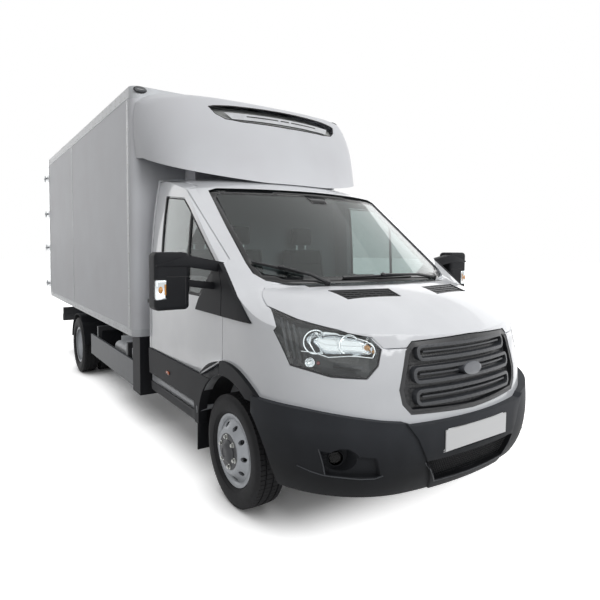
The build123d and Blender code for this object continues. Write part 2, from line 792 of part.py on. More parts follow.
def front_suspension():
    """Left lower arm with its ball stud, and the strut's rod, spring and top mount."""
    root = rail_x + rail_width/2 + seat_gap
    arm = slab_y([(root, 300), (root, 340), (470, 330), (700, 202), (828, kingpin_low_z),
                  (828, kingpin_low_z - 22), (700, 168), (470, 290)], -42, 42)
    brace = slab_z([(root, 20), (root, 210), (root + 40, 210), (600, 42), (600, 0)], 200, 345)
    brace = brace & slab_y([(root, 300), (root, 340), (470, 330), (640, 240), (640, 205), (470, 292)], -500, 500)
    arm = arm + brace
    stud = rod((on_kingpin(kingpin_low_z - 5), 0, kingpin_low_z - 5),
               (on_kingpin(kingpin_low_z + 44), 0, kingpin_low_z + 44), 12)
    arm = arm + stud
    damper = rod((on_kingpin(strut_split - 58), 0, strut_split - 58),
                 (on_kingpin(kingpin_top_z), 0, kingpin_top_z), 11)
    spring = rod((on_kingpin(strut_split + 30), 0, strut_split + 30),
                 (on_kingpin(kingpin_top_z - 30), 0, kingpin_top_z - 30), 60, 46)
    seat_plate = rod((on_kingpin(strut_split + 22), 0, strut_split + 22),
                     (on_kingpin(strut_split + 32), 0, strut_split + 32), 68, 9)
    mount = rod((on_kingpin(kingpin_top_z - 32), 0, kingpin_top_z - 32),
                (on_kingpin(kingpin_top_z), 0, kingpin_top_z), 70, 9)
    mount = mount + block(on_kingpin(kingpin_top_z) - 60, on_kingpin(kingpin_top_z) + 60, -60, 60,
                          kingpin_top_z - 5, tower_low - seat_gap)
    return [arm, damper + spring + seat_plate + mount]


def rear_axle():
    """Axle tube with a round final drive and two stub ends."""
    meet = rim_plane_rear - rim_width/2 - twin_spacing/2
    tube = rod((-meet + 160, 0, axle_z), (meet - 160, 0, axle_z), 62)
    stub = rod((-meet - 5, 0, axle_z), (meet + 5, 0, axle_z), spindle_radius)
    drive = Pos(0, 0, axle_z) * Sphere(150)
    nose = rod((0, -260, axle_z), (0, 0, axle_z), 60)
    pads = block(-spring_x - 45, -spring_x + 45, -60, 60, axle_z, spring_low)
    pads = pads + block(spring_x - 45, spring_x + 45, -60, 60, axle_z, spring_low)
    return Pos(0, rear_axle_y, 0) * (tube + stub + drive + nose + pads)


spring_x = 500.0
spring_low = 408.0
spring_half_length = 640.0
spring_rise = 120.0


def leaf_spring():
    """The left rear spring: three leaves in one bundle, hung from the frame at both ends."""
    low = spring_low + seat_gap
    leaves = None
    for share, base in ((1.0, 24), (0.72, 12), (0.45, 0)):
        reach = spring_half_length*share
        rise = spring_rise*share*share
        edges = [
            ThreePointArc((-reach, low + base + rise), (0, low + base), (reach, low + base + rise)),
            Line((reach, low + base + rise), (reach, low + base + rise + 12)),
            ThreePointArc((reach, low + base + rise + 12), (0, low + base + 12), (-reach, low + base + rise + 12)),
            Line((-reach, low + base + rise + 12), (-reach, low + base + rise)),
        ]
        leaf = Pos(spring_x - 35, 0, 0) * extrude(Plane.YZ * make_face(Wire(edges)), 70)
        leaves = leaf if leaves is None else leaves + leaf
    eye_z = low + 24 + spring_rise + 6
    for way in (-1, 1):
        y = way*spring_half_length
        leaves = leaves + rod((spring_x - 35, y, eye_z), (spring_x + 35, y, eye_z), 26)
        leaves = leaves + block(spring_x - 35, spring_x + 35, y - 14, y + 14, eye_z, rail_top - rail_height + 60)
    inner_x = rail_x + rail_width/2 + seat_gap
    for way in (-1, 1):
        y = way*spring_half_length
        leaves = leaves + block(inner_x, spring_x + 35, y - 40, y + 40, rail_top - rail_height + 20,
                                rail_top - rail_height + 60)
    return Pos(0, rear_axle_y, 0) * leaves


# ---------------------------------------------------------------- frame and what hangs on it
def rail_points():
    """Side view of a frame rail: low under the cab, up to the load box behind it."""
    low = rail_top - rail_height
    return [(rail_front, rail_front_low), (cab_rear + 10, rail_front_low), (cab_rear + 350, low),
            (rail_rear, low), (rail_rear, rail_top), (cab_rear + 300, rail_top),
            (cab_rear + 20, rail_front_high), (rail_front, rail_front_high)]


def chassis_frame():
    """Two rails, cross members, a bumper beam, engine and gearbox supports and spring stops."""
    half = rail_width/2
    frame = slab_x(rail_points(), rail_x - half, rail_x + half)
    frame = frame + slab_x(rail_points(), -rail_x - half, -rail_x + half)
    low = rail_top - rail_height
    # y, lowest and highest z of each cross member
    members = [(-140, rail_front_low, engine_low), (gearbox_end - 60, rail_front_low, gearbox_low),
               (1300, rail_front_low, 474), (1900, low + 30, rail_top - 30),
               (2900, low + 30, rail_top - 30), (3330, low + 30, rail_top - 30), (4580, low + 30, rail_top - 30),
               (rail_rear - 40, low, rail_top)]
    for y, z0, z1 in members:
        frame = frame + block(-rail_x, rail_x, y - 35, y + 35, z0, z1)
    beam = block(-560, 560, rail_front - 60, rail_front, rail_front_low, rail_front_high)
    frame = frame + beam
    sub = block(-rail_x - half, rail_x + half, -70, 70, 290, 350)
    sub = sub + pair(block(rail_x - 60, rail_x + half, -70, 230, 290, 350))
    for side in (-1, 1):
        x0, x1 = sorted((side*(rail_x - half), side*(rail_x + half)))
        frame = frame + block(x0, x1, -60, 60, 340, rail_front_low + 5)
    frame = frame + sub
    for x in (-tow_bolt_x, tow_bolt_x):
        for z in (tow_bolt_low, tow_bolt_high):
            frame = frame - rod((x, rail_rear - 90, z), (x, rail_rear + 10, z), tow_bolt_radius)
    return frame


# Four bolt holes for a tow bar in the rear cross member
tow_bolt_x = 80.0
tow_bolt_low = 645.0
tow_bolt_high = 725.0
tow_bolt_radius = 8.5


engine_low = 520.0
engine_half = 270.0
engine_front = -460.0
engine_high = 1040.0
gearbox_low = 480.0
gearbox_end = 900.0


def drive_train():
    """Engine and gearbox as plain blocks, with the shaft that runs back to the axle."""
    engine = block(-engine_half, engine_half, engine_front, bulkhead_y - 60, engine_low + seat_gap, engine_high)
    gearbox = block(-130, 130, bulkhead_y - 61, gearbox_end, gearbox_low + seat_gap, skin_low - 20)
    shaft = rod((0, gearbox_end - 5, 550), (0, rear_axle_y - 275, axle_z), 40)
    return engine + gearbox + shaft


def radiator():
    """The cooling pack behind the grille, on the bumper beam."""
    return block(-400, 400, rail_front - 50, rail_front + 30, rail_front_high + seat_gap, 1010)


def exhaust():
    """Silencer and pipes along the left rail."""
    low = rail_top - rail_height
    body = rod((-230, 1000, 345), (-230, 1500, 345), 90)
    body = body + rod((-230, 700, 400), (-230, 1010, 345), 28)
    body = body + rod((-230, 1490, 345), (-230, 3300, 470), 28)
    for y, z in ((1130, rail_front_low), (2600, low)):
        body = body + block(-rail_x + 37, -230 + 10, y - 15, y + 15, z + 20, z + 50)
        body = body + block(-250, -210, y - 15, y + 15, 410, z + 50)
    return body


def fuel_tank():
    """The tank behind the right side guard, hung from the rail by two brackets."""
    tank = fillet(block(tank_out, tank_in, tank_front, tank_rear, tank_low, tank_high).edges(), 55)
    for y in (tank_front + 90, tank_rear - 90):
        tank = tank + block(tank_out + 60, -rail_x - rail_width/2 - seat_gap, y - 20, y + 20, tank_high - 30,
                            tank_high + 50)
    return tank


tank_out = -960.0
tank_in = -520.0
tank_front = 1800.0
tank_rear = 2700.0
tank_low = 320.0
tank_high = 590.0


def side_locker():
    """Left closed box behind the cab, hung from the frame."""
    low = rail_top - rail_height
    box = block(locker_in, locker_out, box_front + 8, box_front + 215, locker_low, box_bottom - seat_gap)
    return box + block(rail_x + rail_width/2 + seat_gap, locker_in + 1, box_front + 215 - 60, box_front + 215,
                       rail_top - 60, rail_top)


locker_in = 640.0
locker_out = 1045.0
locker_low = 300.0


def side_guard():
    """Left flat guard between the axles, on two arms from the frame."""
    low = rail_top - rail_height
    panel = slab_x([(guard_front, 332), (guard_rear, 332), (guard_rear, 562), (guard_front, 562)],
                   guard_x - 25, guard_x)
    for y in (guard_front + 250, guard_rear - 250):
        panel = panel + block(rail_x + rail_width/2 + seat_gap, guard_x - 20, y - 25, y + 25, low + 20, low + 70)
        panel = panel + block(guard_x - 60, guard_x - 20, y - 25, y + 25, 360, low + 70)
    return panel


guard_x = 1040.0
guard_front = 1753.0
guard_rear = 3395.0


def rear_mudguard():
    """Left guard over the twin wheels, on two stays from the frame."""
    ring = rod((mudguard_in, rear_axle_y, axle_z), (mudguard_out, rear_axle_y, axle_z), mudguard_radius + 6,
               mudguard_radius)
    ring = ring & block(0, everywhere, rear_axle_y - 600, rear_axle_y + 600, axle_z + 60, 2000)
    for way in (-1, 1):
        y = rear_axle_y + way*250
        z = axle_z + sqrt(mudguard_radius**2 - 250**2)
        ring = ring + rod((rail_x + rail_width/2 + seat_gap, y, z), (mudguard_out - 20, y, z), 12)
    return ring


mudguard_in = 620.0
mudguard_out = 1075.0
mudguard_radius = 385.0


def rear_beam():
    """The underrun beam with upright lamp boards at its ends, on two drops from the frame."""
    beam = block(-beam_half, beam_half, beam_y - 50, beam_y + 50, beam_low, beam_low + 100)
    for side in (-1, 1):
        x0, x1 = sorted((side*(beam_half - 330), side*beam_half))
        beam = beam + block(x0, x1, beam_y - 40, beam_y + 10, beam_low, beam_high)
        x0, x1 = sorted((side*(rail_x - 30), side*(rail_x + 30)))
        beam = beam + block(x0, x1, rail_rear - 160, beam_y, beam_low + 20, rail_top - rail_height - seat_gap)
    return beam


beam_half = 931.0
beam_y = 5840.0
beam_low = 404.0
beam_high = 613.0


def lamps():
    """Rear lamps on the beam's boards, corner lamps high on the box and side lamps along it."""
    pieces = []
    for side in (-1, 1):
        x0, x1 = sorted((side*(beam_half - 300), side*(beam_half - 20)))
        pieces.append(block(x0, x1, beam_y + 10 + seat_gap, beam_y + 50, beam_low + 104, beam_high - 6))
        pieces.append(Pos(side*corner_lamp_x, box_front - 9 - seat_gap, corner_lamp_z) * Box(96, 18, 44))
    return pieces


corner_lamp_x = 1026.0
corner_lamp_z = 2876.0


# ---------------------------------------------------------------- load box
def rounded_plan(z0, z1):
    """A full-width slab with the box's two round front corners."""
    slab = block(-box_half, box_half, box_front, box_rear - portal_depth - seat_gap, z0, z1)
    upright = [edge for edge in slab.edges().filter_by(Axis.Z) if edge.center().Y < box_front + 1]
    return fillet(upright, corner_radius)


def box_floor_piece():
    """The insulated floor on cross bearers that rest on the rails."""
    floor = rounded_plan(box_bottom, box_bottom + box_rail)
    floor = floor + block(-box_half + box_wall + seat_gap, box_half - box_wall - seat_gap,
                          box_front + box_wall + seat_gap, box_rear - portal_depth - seat_gap,
                          box_bottom + box_rail - 1, box_bottom + box_floor)
    count = 8
    pitch = (box_length - 700)/(count - 1)
    for k in range(count):
        y = box_front + 350 + k*pitch
        floor = floor + block(-box_half + 90, box_half - 90, y - 30, y + 30, rail_top, box_bottom + 1)
    return floor


wall_low = box_bottom + box_rail + seat_gap
wall_high = box_top - roof_rail - seat_gap


def box_front_wall():
    """The front wall with its two round corner posts."""
    wall = rounded_plan(wall_low, wall_high)
    wall = wall & block(-everywhere, everywhere, box_front, box_front + corner_radius + 5, 0, 3000)
    return wall - block(-box_half + box_wall, box_half - box_wall, box_front + box_wall, box_front + 500, 0, 3000)


def box_side():
    """The left side wall: a smooth panel with a joint strip."""
    return block(box_half - box_wall, box_half, box_front + corner_radius + 5 + seat_gap,
                 box_rear - portal_depth - seat_gap, wall_low, wall_high)


def box_roof_piece():
    """The roof with its edge rails."""
    roof = rounded_plan(box_top - roof_rail, box_top)
    return roof - block(-box_half + box_wall, box_half - box_wall, box_front + box_wall,
                        box_rear, 0, box_top - box_roof)


def rear_portal():
    """The frame round the rear doors, with four hinge brackets on each post."""
    y0 = box_rear - portal_depth
    frame = block(-box_half, box_half, y0, box_rear, box_bottom, box_top)
    frame = frame - block(-box_half + portal_post, box_half - portal_post, y0 - 1, box_rear + 1,
                          box_bottom + box_floor, box_top - roof_rail)
    for side in (-1, 1):
        for z in hinge_heights:
            x0, x1 = sorted((side*box_half, side*(hinge_x - hinge_barrel + 3)))
            for low, high in ((z - 45, z - 15), (z + 15, z + 45)):
                lug = block(x0, x1, box_rear - 60, hinge_y, low, high)
                frame = frame + lug + rod((side*hinge_x, hinge_y, low), (side*hinge_x, hinge_y, high), hinge_barrel)
            frame = frame + rod((side*hinge_x, hinge_y, z - 20), (side*hinge_x, hinge_y, z + 20), hinge_pin)
    return frame


portal_post = 70.0
hinge_heights = (1000, 1560, 2080, 2630)
rear_door_low = box_bottom + box_floor - 20
rear_door_high = box_top - roof_rail + 20
door_middle_gap = 3.0


def rear_door():
    """The left rear door with hinge straps, lock bar and handle."""
    outer_x = box_half - 12
    panel = block(door_middle_gap, outer_x, rear_door_front, rear_door_rear, rear_door_low, rear_door_high)
    for z in hinge_heights:
        strap_plate = block(outer_x - 190, hinge_x, rear_door_rear - 1, rear_door_rear + strap, z - 14.5, z + 14.5)
        barrel_piece = rod((hinge_x, hinge_y, z - 14.5), (hinge_x, hinge_y, z + 14.5), hinge_barrel)
        panel = panel + strap_plate + barrel_piece
        panel = panel - rod((hinge_x, hinge_y, z - 25), (hinge_x, hinge_y, z + 25), hinge_pin + pin_gap)
    bar = rod((lock_bar_x, lock_bar_y, rear_door_low + 20), (lock_bar_x, lock_bar_y, rear_door_high - 20),
              lock_bar_radius)
    panel = panel + bar
    for z in (rear_door_low + 60, 1250, 1900, rear_door_high - 60):
        panel = panel + block(lock_bar_x - 35, lock_bar_x + 35, rear_door_rear - 1, lock_bar_y, z - 20, z + 20)
    handle = block(lock_bar_x - 8, lock_bar_x + 300, lock_bar_y, lock_bar_y + 12, 1180, 1210)
    rest = block(lock_bar_x + 250, lock_bar_x + 290, rear_door_rear - 1, lock_bar_y + 6, 1170, 1220)
    return panel + handle + rest


lock_bar_x = 140.0


# ---------------------------------------------------------------- refrigeration
def air_fairing():
    """The hollow fairing over the cab, with the condenser's air slot, on two roof brackets."""
    under = slab_x(fairing_under, -everywhere, everywhere)
    skin = fairing_form(0) - fairing_form(fairing_wall)
    skin = skin & under & block(-everywhere, everywhere, 0, box_front - seat_gap, 0, 4000)
    skin = skin - face_slab_y(outline(whole(fairing_slot_half)), 600, 1250)
    for side in (-1, 1):
        x0, x1 = sorted((side*700, side*712))
        skin = skin + (block(x0, x1, 1130, 1330, 2050, 2320) - cab_form(-seat_gap))
    bearer = block(-everywhere, everywhere, 1190, 1260, 2296, 2320) & fairing_form(2)
    return skin + bearer


fairing_wall = 12.0
# Side view (y, z): what is kept of the fairing, above its sloping underside
fairing_under = [(500, 2078), (700, 2082), (1368, 2289), (1700, 2340), (1700, 3000), (500, 3000)]


def condenser_unit():
    """The condenser's case on the front wall, and the pale louvre with three slots ahead of it."""
    case = block(-560, 560, 1180, box_front - seat_gap, 2420, 2745)
    louvre = slab_y([(-500, 2640), (500, 2640), (520, 2700), (-520, 2700)], 1110, 1181)
    for x0, x1 in ((-345, -65), (-40, 40), (65, 345)):
        louvre = louvre - block(x0, x1, 1100, 1150, 2664, 2684)
    return case + louvre


def evaporator():
    """The evaporator under the roof on the inside of the front wall."""
    back = box_front + box_wall + seat_gap
    high = box_top - box_roof - seat_gap
    case = slab_x([(back, high), (back + 620, high), (back + 620, high - 90), (back + 380, high - 240),
                   (back, high - 240)], -650, 650)
    for x in (-380, 0, 380):
        case = case - (Pos(x, back + 500, high - 190) * Rot(-32, 0, 0) * Cylinder(130, 90))
    return case


# ---------------------------------------------------------------- the pieces
def both(solid):
    """A left solid and its mirror image, as two separate solids."""
    return [solid, other_side(solid)]


def fixed_pairs(solids):
    """Left solids and their mirror images, as separate solids."""
    return list(solids) + [other_side(one) for one in solids]


meeting_plane = rim_plane_rear - rim_width/2 - twin_spacing/2


def front_tyre(side):
    return [placed_wheel(tyre(rim_plane_front - rim_width/2), side, 0)]


def twin_tyres(side):
    offset_x = rim_plane_rear - rim_width/2
    return [placed_wheel(tyre(x), side, rear_axle_y) for x in (offset_x, 2*meeting_plane - offset_x)]


def front_bumper():
    """The bumper with its blank number plate."""
    plate = block(-plate_half_width, plate_half_width, plate_seat - plate_thickness, plate_seat - seat_gap,
                  plate_low, plate_high)
    return [bumper(), plate]


@cache
def door_pane():
    return pane(face_slab_x(grown(window_outline, -glass_edge), door_inmost, everywhere))


glass_edge = 0.6         # gap between a pane and its opening

# name of the sub-part, how its solids are made
pieces = {
    "chassis_frame": lambda: [chassis_frame()],
    "front_suspension": lambda: fixed_pairs(front_suspension()),
    "rear_axle": lambda: [rear_axle()],
    "leaf_springs": lambda: both(leaf_spring()),
    "drive_train": lambda: [drive_train()],
    "radiator": lambda: [radiator()],
    "exhaust": lambda: [exhaust()],
    "fuel_tank": lambda: [fuel_tank()],
    "side_lockers": lambda: both(side_locker()),
    "side_guards": lambda: both(side_guard()),
    "rear_mudguards": lambda: both(rear_mudguard()),
    "rear_beam": lambda: [rear_beam()],
    "marker_lamps": lambda: lamps(),
    "front_knuckle_left": lambda: [knuckle()],
    "front_knuckle_right": lambda: [other_side(knuckle())],
    "tyre_front_left": lambda: front_tyre(1),
    "tyre_front_right": lambda: front_tyre(-1),
    "tyres_rear_left": lambda: twin_tyres(1),
    "tyres_rear_right": lambda: twin_tyres(-1),
    "rim_front_left": lambda: [placed_wheel(front_rim(), 1, 0)],
    "rim_front_right": lambda: [placed_wheel(front_rim(), -1, 0)],
    "rim_rear_left": lambda: [placed_wheel(rear_rim(), 1, rear_axle_y)],
    "rim_rear_right": lambda: [placed_wheel(rear_rim(), -1, rear_axle_y)],
    "cab_body": lambda: [cab_body()],
    "bonnet": lambda: [bonnet()],
    "windscreen": lambda: [pane(screen_zone(-glass_edge))],
    "front_bumper": lambda: front_bumper(),
    "grille": lambda: [grille()],
    "headlamps": lambda: lamp_units(),
    "side_cladding": lambda: fixed_pairs(side_cladding()),
    "arch_liners": lambda: both(arch_liner()),
    "dashboard": lambda: [dashboard()],
    "steering_wheel": lambda: [steering_wheel()],
    "driver_seat": lambda: [seat(steer_x, 500, (steer_x,))],
    "passenger_seat": lambda: [seat(-430, 860, (-250, -620))],
    "cab_door_left": lambda: [door()],
    "cab_door_right": lambda: [other_side(door())],
    "door_glass_left": lambda: [door_pane()],
    "door_glass_right": lambda: [other_side(door_pane())],
    "mirror_left": lambda: [mirror_unit()],
    "mirror_right": lambda: [other_side(mirror_unit())],
    "box_floor": lambda: [box_floor_piece()],
    "box_front_wall": lambda: [box_front_wall()],
    "box_side_left": lambda: [box_side()],
    "box_side_right": lambda: [other_side(box_side())],
    "box_roof": lambda: [box_roof_piece()],
    "rear_portal": lambda: [rear_portal()],
    "rear_door_left": lambda: [rear_door()],
    "rear_door_right": lambda: [other_side(rear_door())],
    "air_fairing": lambda: [air_fairing()],
    "condenser_unit": lambda: [condenser_unit()],
    "evaporator": lambda: [evaporator()],
}

os.makedirs("parts", exist_ok=True)
for name, make in pieces.items():
    save(name, *make())
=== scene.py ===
# %% [markdown]
# # A refrigerated truck, dressed for the studio
# The imported model holds every piece at its real size. This file gives those pieces their finishes and
# adds what is too fine for the solids: tyre tread, lamp reflectors, glass borders, seams, bolts and seats.
# Each step is a short cell. A note before it says what the real thing is and why it is made that way.

# %% [markdown]
# ## The frame
# The model's solids are imported with their placement written into their meshes, beside the record of which body each
# one rides on.

# %% Load the frame
import bpy
import bmesh
import json
from math import cos, hypot, pi, radians, sin, sqrt
from mathutils import Matrix, Vector
from mathutils.bvhtree import BVHTree


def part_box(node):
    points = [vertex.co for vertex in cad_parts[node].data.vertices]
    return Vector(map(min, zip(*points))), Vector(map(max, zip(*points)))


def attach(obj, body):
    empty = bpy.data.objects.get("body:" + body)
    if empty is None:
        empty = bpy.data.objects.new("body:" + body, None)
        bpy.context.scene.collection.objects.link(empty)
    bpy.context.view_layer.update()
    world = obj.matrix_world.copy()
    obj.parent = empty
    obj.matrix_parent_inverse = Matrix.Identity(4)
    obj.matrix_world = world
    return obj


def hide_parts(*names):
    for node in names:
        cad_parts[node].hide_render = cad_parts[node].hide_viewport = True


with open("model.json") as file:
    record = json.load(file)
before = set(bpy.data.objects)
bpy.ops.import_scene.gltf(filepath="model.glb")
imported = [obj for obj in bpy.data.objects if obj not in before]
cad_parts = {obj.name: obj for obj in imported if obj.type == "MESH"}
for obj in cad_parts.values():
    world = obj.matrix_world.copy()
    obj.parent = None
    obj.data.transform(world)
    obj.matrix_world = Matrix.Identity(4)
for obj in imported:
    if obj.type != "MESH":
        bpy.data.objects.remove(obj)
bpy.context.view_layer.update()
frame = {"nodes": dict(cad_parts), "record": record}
nodes = frame["nodes"]

# %% [markdown]
# ## Places
# A vehicle is measured from its front axle and from the ground, in millimetres. `at` turns such a place
# into the frame's metres and `in_mm` turns it back. The axle itself is read from the front tyre, so nothing
# is fitted by eye. The truck's left side lies towards +x.

# %% Millimetres to metres
MM = 0.001
tyre_low, tyre_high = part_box("tyre_front_left")
AXLE_Y = (tyre_low.y + tyre_high.y)/2
AXLE_Z = (tyre_low.z + tyre_high.z)/2
SIDES = ((1, "left"), (-1, "right"))


def at(x, y, z):
    """A place in mm from the front axle's middle line and the ground, in metres."""
    return Vector((x*MM, AXLE_Y + y*MM, z*MM))


def in_mm(place):
    """The x, y and z in mm of a place in metres: the reverse of at()."""
    return place.x/MM, (place.y - AXLE_Y)/MM, place.z/MM


print("front axle at y", round(AXLE_Y, 4), "and z", round(AXLE_Z, 4))

# %% [markdown]
# ## Colour
# Paint charts and screens give colours as sRGB hex values, while a shader mixes light in linear numbers.
# One function turns the first into the second, so every colour below can be read as a chart colour.

# %% Hex colours


def colour(hex_code):
    """An sRGB hex colour as linear red, green, blue and alpha."""
    channels = [int(hex_code[i:i + 2], 16)/255 for i in (1, 3, 5)]
    linear = [c/12.92 if c <= 0.04045 else ((c + 0.055)/1.055)**2.4 for c in channels]
    return (*linear, 1.0)


print("mid grey is", [round(c, 3) for c in colour("#808080")])

# %% [markdown]
# ## Building materials
# A material is a small net of nodes. `add` makes one node, sets what it is told and links what it is
# given, and that is all the help the nets below need. Patterns read Object coordinates, which stay with
# the piece when it moves, and their scale is worked out from a size in millimetres.

# %% Node helpers


def add(tree, kind, inputs=None, **settings):
    """A new node with its settings, and its inputs set or linked."""
    made = tree.nodes.new(kind)
    for name, value in settings.items():
        setattr(made, name, value)
    for key, value in (inputs or {}).items():
        if isinstance(value, bpy.types.NodeSocket):
            tree.links.new(value, made.inputs[key])
        else:
            made.inputs[key].default_value = value
    return made


def new_material(name, **surface):
    """A material with one Principled shader; returns it with its tree and its shader."""
    material = bpy.data.materials.new(name)
    material.use_nodes = True
    tree = material.node_tree
    tree.nodes.clear()
    shader = add(tree, "ShaderNodeBsdfPrincipled", surface)
    add(tree, "ShaderNodeOutputMaterial", {"Surface": shader.outputs[0]})
    return material, tree, shader


def grain(tree, size_mm, detail=2.0, stretch=(1, 1, 1)):
    """Noise whose lumps are about size_mm across, read from Object coordinates."""
    place = add(tree, "ShaderNodeTexCoord").outputs["Object"]
    turned = add(tree, "ShaderNodeMapping", {"Vector": place, "Scale": stretch})
    return add(tree, "ShaderNodeTexNoise",
               {"Vector": turned.outputs[0], "Scale": 1/(size_mm*MM), "Detail": detail}).outputs["Fac"]


def between(tree, factor, low, high, start=0.3, end=0.7):
    """A factor spread from start..end to low..high."""
    return add(tree, "ShaderNodeMapRange", {"Value": factor, "From Min": start, "From Max": end,
                                            "To Min": low, "To Max": high}).outputs[0]


def mixed(tree, factor, first, second):
    """A mix of two linear colours by a factor."""
    return add(tree, "ShaderNodeMix", {"Factor": factor, "A": first, "B": second}, data_type="RGBA").outputs["Result"]


def two_tone(tree, factor, first, second):
    """A mix of two hex colours by a factor."""
    return mixed(tree, factor, colour(first), colour(second))


def bumped(tree, shader, height, depth_mm, strength=1.0):
    """Gives a shader a relief of depth_mm."""
    bump = add(tree, "ShaderNodeBump", {"Height": height, "Distance": depth_mm*MM, "Strength": strength})
    tree.links.new(bump.outputs[0], shader.inputs["Normal"])


def height_above_ground(tree):
    """Object Z in metres, for tones that change with height, such as the bumper's painted lit top."""
    place = add(tree, "ShaderNodeTexCoord").outputs["Object"]
    return add(tree, "ShaderNodeSeparateXYZ", {"Vector": place}).outputs["Z"]


print("lumps of 14 mm need a noise scale of", round(1/(14*MM), 1))

# %% [markdown]
# ## Baked enamel on steel
# The cab is pressed steel with a baked white enamel under a clear coat. The eye reads it by its sharp coat reflection
# over a softer base, a faint orange-peel ripple some millimetres wide, and a base that is greyer towards the bottom,
# from 1.1 m down to 0.4 m.

# %% White enamel


def make_enamel():
    material, tree, shader = new_material("white_baked_enamel", **{
        "Roughness": 0.38, "IOR": 1.5, "Coat Weight": 0.7, "Coat Roughness": 0.06})
    # The base is darker towards the bottom, below 1.1 m, with random grey patches over it.
    height_share = between(tree, height_above_ground(tree), 0.0, 1.0, 0.4, 1.1)
    cloud = between(tree, grain(tree, 260, 3.0), 0.0, 0.25)
    tone_share = add(tree, "ShaderNodeMath", {0: height_share, 1: cloud}, operation="SUBTRACT", use_clamp=True)
    tree.links.new(two_tone(tree, tone_share.outputs[0], "#C2C5C9", "#E4E6EA"), shader.inputs["Base Color"])
    bumped(tree, shader, grain(tree, 14, 1.0), 0.02, 0.25)
    return material


ENAMEL = make_enamel()
print("made", ENAMEL.name)

# %% [markdown]
# ## Gelcoat on glass-fibre sandwich
# The load box and the fairing are sandwich panels with a white gelcoat face, rolled rather than sprayed.
# It is less glossy than the enamel and slightly wavy over a hand's breadth.

# %% Gelcoat panels


def make_gelcoat():
    material, tree, shader = new_material("white_gelcoat", **{
        "Roughness": 0.55, "IOR": 1.45, "Specular IOR Level": 0.35})
    patch = between(tree, grain(tree, 420), 0.0, 1.0)
    tree.links.new(two_tone(tree, patch, "#DCDDE1", "#E1E3E7"), shader.inputs["Base Color"])
    bumped(tree, shader, grain(tree, 90), 0.12, 0.2)
    return material


GELCOAT = make_gelcoat()
print("made", GELCOAT.name)

# %% [markdown]
# ## Moulded black plastics
# Bumper, arch lips, sill covers and mirrors are moulded polypropylene, black through and through, with a grained
# mould surface that scatters light. The grain is under a millimetre on the real piece; it is drawn at two, or it
# would not show on a whole truck. Sun fades it towards grey in slow patches. On the bumper the upper half is painted
# lighter and the part near the road stays black: a painted highlight for light from above.

# %% Grained polypropylene


def make_grained_plastic(name, dark, faded_and_lit, roughness, sheen=0.35, painted_lit_heights=None):
    """A moulded plastic that fades in patches and, between two given heights, is painted lighter upwards: a painted
    highlight for light from above.
    """
    material, tree, shader = new_material(name, **{"Roughness": roughness, "IOR": 1.46, "Specular IOR Level": sheen})
    patch = between(tree, grain(tree, 180, 3.0), 0.0, 1.0)
    if painted_lit_heights:
        low, high = painted_lit_heights
        # Lighter upwards between the two heights: painted light from above, added to the random fading.
        painted_lit_top = between(tree, height_above_ground(tree), 0.0, 0.8, low, high)
        patch = add(tree, "ShaderNodeMath", {0: patch, 1: 0.2, 2: painted_lit_top}, operation="MULTIPLY_ADD").outputs[0]
    tree.links.new(two_tone(tree, patch, dark, faded_and_lit), shader.inputs["Base Color"])
    bumped(tree, shader, grain(tree, 2.0, 1.0), 0.15, 0.5)
    return material


# From 0.44 m up to 0.68 m the bumper is painted lighter: a painted highlight for light from above.
BUMPER_PLASTIC = make_grained_plastic("grained_polypropylene", "#0F1012", "#35373B", 0.6, 0.14, (0.44, 0.68))
BLACK_PLASTIC = make_grained_plastic("black_polypropylene", "#141518", "#1D1E21", 0.58, 0.18)
LINER_PLASTIC = make_grained_plastic("rough_arch_liner", "#131315", "#1B1B1D", 0.8, 0.2)
DASH_PLASTIC = make_grained_plastic("dashboard_vinyl", "#2E2F32", "#38393C", 0.6)
print("made", [made.name for made in (BUMPER_PLASTIC, BLACK_PLASTIC, LINER_PLASTIC, DASH_PLASTIC)])

# %% [markdown]
# ## Smooth black ABS
# Grille bars, wiper arms and lamp housings are smooth ABS. A slight satin keeps their edges readable.

# %% ABS, and the trims that share its recipe


def make_plain(name, hex_code, roughness, wave_mm, **surface):
    """A smooth moulded or painted finish with a faint change of tone over wave_mm."""
    material, tree, shader = new_material(name, **{"Roughness": roughness, **surface})
    base = colour(hex_code)
    darker = (*(0.86*c for c in base[:3]), 1.0)
    tone = mixed(tree, between(tree, grain(tree, wave_mm), 0.0, 1.0), darker, base)
    tree.links.new(tone, shader.inputs["Base Color"])
    bumped(tree, shader, grain(tree, wave_mm*0.1, 1.0), 0.03, 0.25)
    return material


BLACK_ABS = make_plain("satin_black_abs", "#1B1C1F", 0.36, 40)
GRILLE_ABS = make_plain("grille_grey_abs", "#3A3C40", 0.42, 40)
SEAL_RUBBER = make_plain("epdm_seal_rubber", "#151517", 0.7, 30)
CHASSIS_PAINT = make_plain("chassis_black_wax", "#1F2023", 0.55, 60)
GUARD_PAINT = make_plain("grey_powder_coat", "#4B4E52", 0.5, 80)
TANK_PLASTIC = make_plain("pale_polyethylene", "#D4D6D8", 0.55, 70)
SILL_PAINT = make_plain("silver_grey_sill_paint", "#A4A7AB", 0.4, 80)
CASE_PAINT = make_plain("white_powder_coat", "#DDDFE2", 0.48, 50)
CASTING = make_plain("rough_iron_casting", "#4A4A4C", 0.75, 12)
PLATE_WHITE = make_plain("plate_reflective_white", "#E6E7E8", 0.3, 900)
print(len(bpy.data.materials), "materials so far")

# %% [markdown]
# ## Metals
# A metal keeps the default IOR and gets its look from Metallic, its tint and its roughness. Extruded
# aluminium has fine lines along the die; wheel steel is painted silver, so it is only half metallic.

# %% Aluminium, steel and chrome


